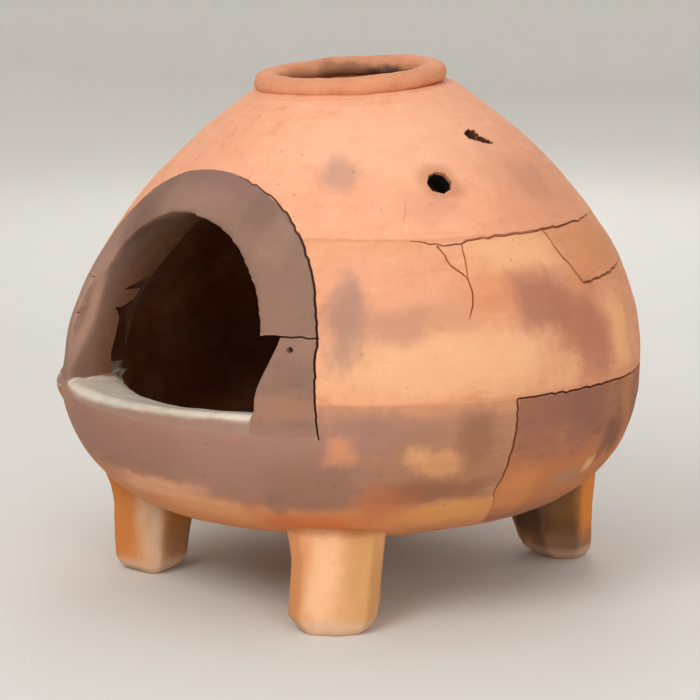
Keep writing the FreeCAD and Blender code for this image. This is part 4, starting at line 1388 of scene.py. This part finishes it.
# %% [markdown]
# ## Ochre feet and ash
#
# The feet are a yellower clay.  Each was wiped upright with wet hands, so their streaks run down
# instead of round.  Each has its own clouds of colour, and painted shade on the sides turned from the
# lamps and under the bowl.

# %% Feet and ash
def near_foot(colour, node_name, across, outward, z, size, height, amount=0.8):
    """A cloud on one foot, placed from the foot's middle in millimetres round and outward."""
    low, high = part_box(node_name)
    middle = Vector(((low.x + high.x) / 2, (low.y + high.y) / 2, 0))
    out = middle.normalized()
    spot = middle + out * outward / 1000 + Vector((-out.y, out.x, 0)) * across / 1000
    return ("cloud", tint(colour), (spot.x, spot.y, z), (size, size, height), amount, 0.4, 0.5)


foot_clay = clay("ochre_foot_clay", "d69c6a", "e6b488", "bd8450", [
    near_foot("f0b98e", "foot_front_right", -12, 40, 0.060, 0.020, 0.060),
    near_foot("c8945c", "foot_front_right", 26, 40, 0.050, 0.016, 0.060, 0.75),
    near_foot("c98450", "foot_front_right", -40, 40, 0.050, 0.017, 0.060, 0.90),
    # Painted shadow under the bowl along the top of the front foot.
    near_foot("9a5c2c", "foot_front_right", 0, 42, 0.094, 0.060, 0.008, 0.65),
    near_foot("c57838", "foot_front_left", 26, 30, 0.055, 0.034, 0.050, 1.0),
    near_foot("d2b294", "foot_front_left", 44, -9, 0.045, 0.011, 0.050, 0.95),
    # Painted shade on the front-left foot's side turned from the lamps.
    near_foot("a86c2a", "foot_front_left", 30, -32, 0.060, 0.024, 0.045, 0.95),
    near_foot("8f6a52", "foot_front_left", 30, -32, 0.022, 0.022, 0.020, 0.60),
    near_foot("d47c2c", "foot_rear_right", -30, 40, 0.060, 0.024, 0.045, 0.95),
    # Painted shade on the rear-right foot, under the bowl.
    near_foot("5e3f1e", "foot_rear_right", -40, 2, 0.060, 0.022, 0.060, 0.95),
    near_foot("46301f", "foot_rear_right", -30, -34, 0.050, 0.020, 0.060, 0.95),
    near_foot("84604a", "foot_rear_right", -34, 20, 0.010, 0.040, 0.020, 0.80),
    near_foot("8a5c34", "foot_rear_left", 20, 20, 0.060, 0.040, 0.040, 0.70),
    band("d8b398", -0.0300, 0.0180, 0.0100, 0.015, 0.65),
], streaks=0.35, direction=(3, 3, 1), pits=0.2, rub_and_highlight="ecc8a4", rub_and_highlight_amount=0.4)
ash_clay = clay("ash_heap", "6e655e", "968c84", "3c3632", streaks=0.2, pits=1.0, bump=0.003, rub_and_highlight="a8a098")
finish_with(foot_clay, "foot_clay", *feet)
finish_with(ash_clay, "ash", "ash_bed")

# %% [markdown]
# ## Camera, floor and light
#
# A long lens from a few metres away keeps the pot's sides upright, and stands to the front right so
# that the mouth, the vent and the cracks all show.  Three large soft lamps and a pale ground keep the
# shadows soft, as in a potter's display.

# %% Camera
FOCUS = Vector((0, 0, 0.2965))
VIEW_AZIMUTH = math.radians(45.3)
VIEW_ELEVATION = math.radians(9)
VIEW_PITCH = math.radians(11)
VIEW_DISTANCE = 2.44
flat = math.cos(VIEW_ELEVATION)
backward = Vector((flat * math.sin(VIEW_AZIMUTH), -flat * math.cos(VIEW_AZIMUTH), math.sin(VIEW_ELEVATION)))
camera_data = bpy.data.cameras.new("view")
camera_data.lens = 130
camera_data.sensor_width = 36
camera = bpy.data.objects.new("view", camera_data)
bpy.context.collection.objects.link(camera)
camera.location = FOCUS + backward * VIEW_DISTANCE
run = math.hypot(camera.location.x, camera.location.y)
aim = Vector((0, 0, camera.location.z - run * math.tan(VIEW_PITCH)))
camera.rotation_euler = (aim - camera.location).to_track_quat("-Z", "Y").to_euler()
bpy.context.scene.camera = camera
print("camera at", [round(v, 3) for v in camera.location])

# %% Floor and lights
bpy.context.scene.view_settings.view_transform = "Standard"
rising = np.linspace(0.2, math.pi / 2, 9)
paper_section = [(0, 0)] + [(r, 0) for r in (1.0, 2.0, 3.2)]
paper_section += [(3.2 + 1.6 * math.sin(a), 1.6 - 1.6 * math.cos(a)) for a in rising]
paper_section += [(4.8, 2.4), (4.8, 3.2), (4.9, 3.2), (4.9, -0.1), (0, -0.1)]
floor = turned("floor", paper_section, steps=64)
bpy.ops.object.shade_smooth_by_angle(angle=math.radians(30))
paper = bpy.data.materials.new("pale_paper")
paper.use_nodes = True
paper.node_tree.nodes["Principled BSDF"].inputs["Base Color"].default_value = tint("d9d6d0")
paper.node_tree.nodes["Principled BSDF"].inputs["Roughness"].default_value = 0.9
floor.data.materials.append(paper)


def softbox(name, place, target, size, power):
    data = bpy.data.lights.new(name, "AREA")
    data.shape = "DISK"
    data.size = size
    data.energy = power
    lamp = bpy.data.objects.new(name, data)
    bpy.context.collection.objects.link(lamp)
    lamp.location = place
    lamp.rotation_euler = (Vector(target) - Vector(place)).to_track_quat("-Z", "Y").to_euler()
    return lamp


softbox("key", (0.5, -2.5, 2.3), (0, 0, 0.25), 1.8, 42)
softbox("fill", (2.6, -1.2, 0.8), (0, 0, 0.22), 1.5, 22)
softbox("back", (-1.8, 2.2, 1.8), (0, 0, 0.25), 1.6, 22)
world = bpy.data.worlds.new("studio")
bpy.context.scene.world = world
world.use_nodes = True
world.node_tree.nodes["Background"].inputs["Color"].default_value = (1, 1, 1, 1)
world.node_tree.nodes["Background"].inputs["Strength"].default_value = 0.78

# %% Sizes
print("cad   ", [round(v, 4) for v in (*cad_low, *cad_high)])
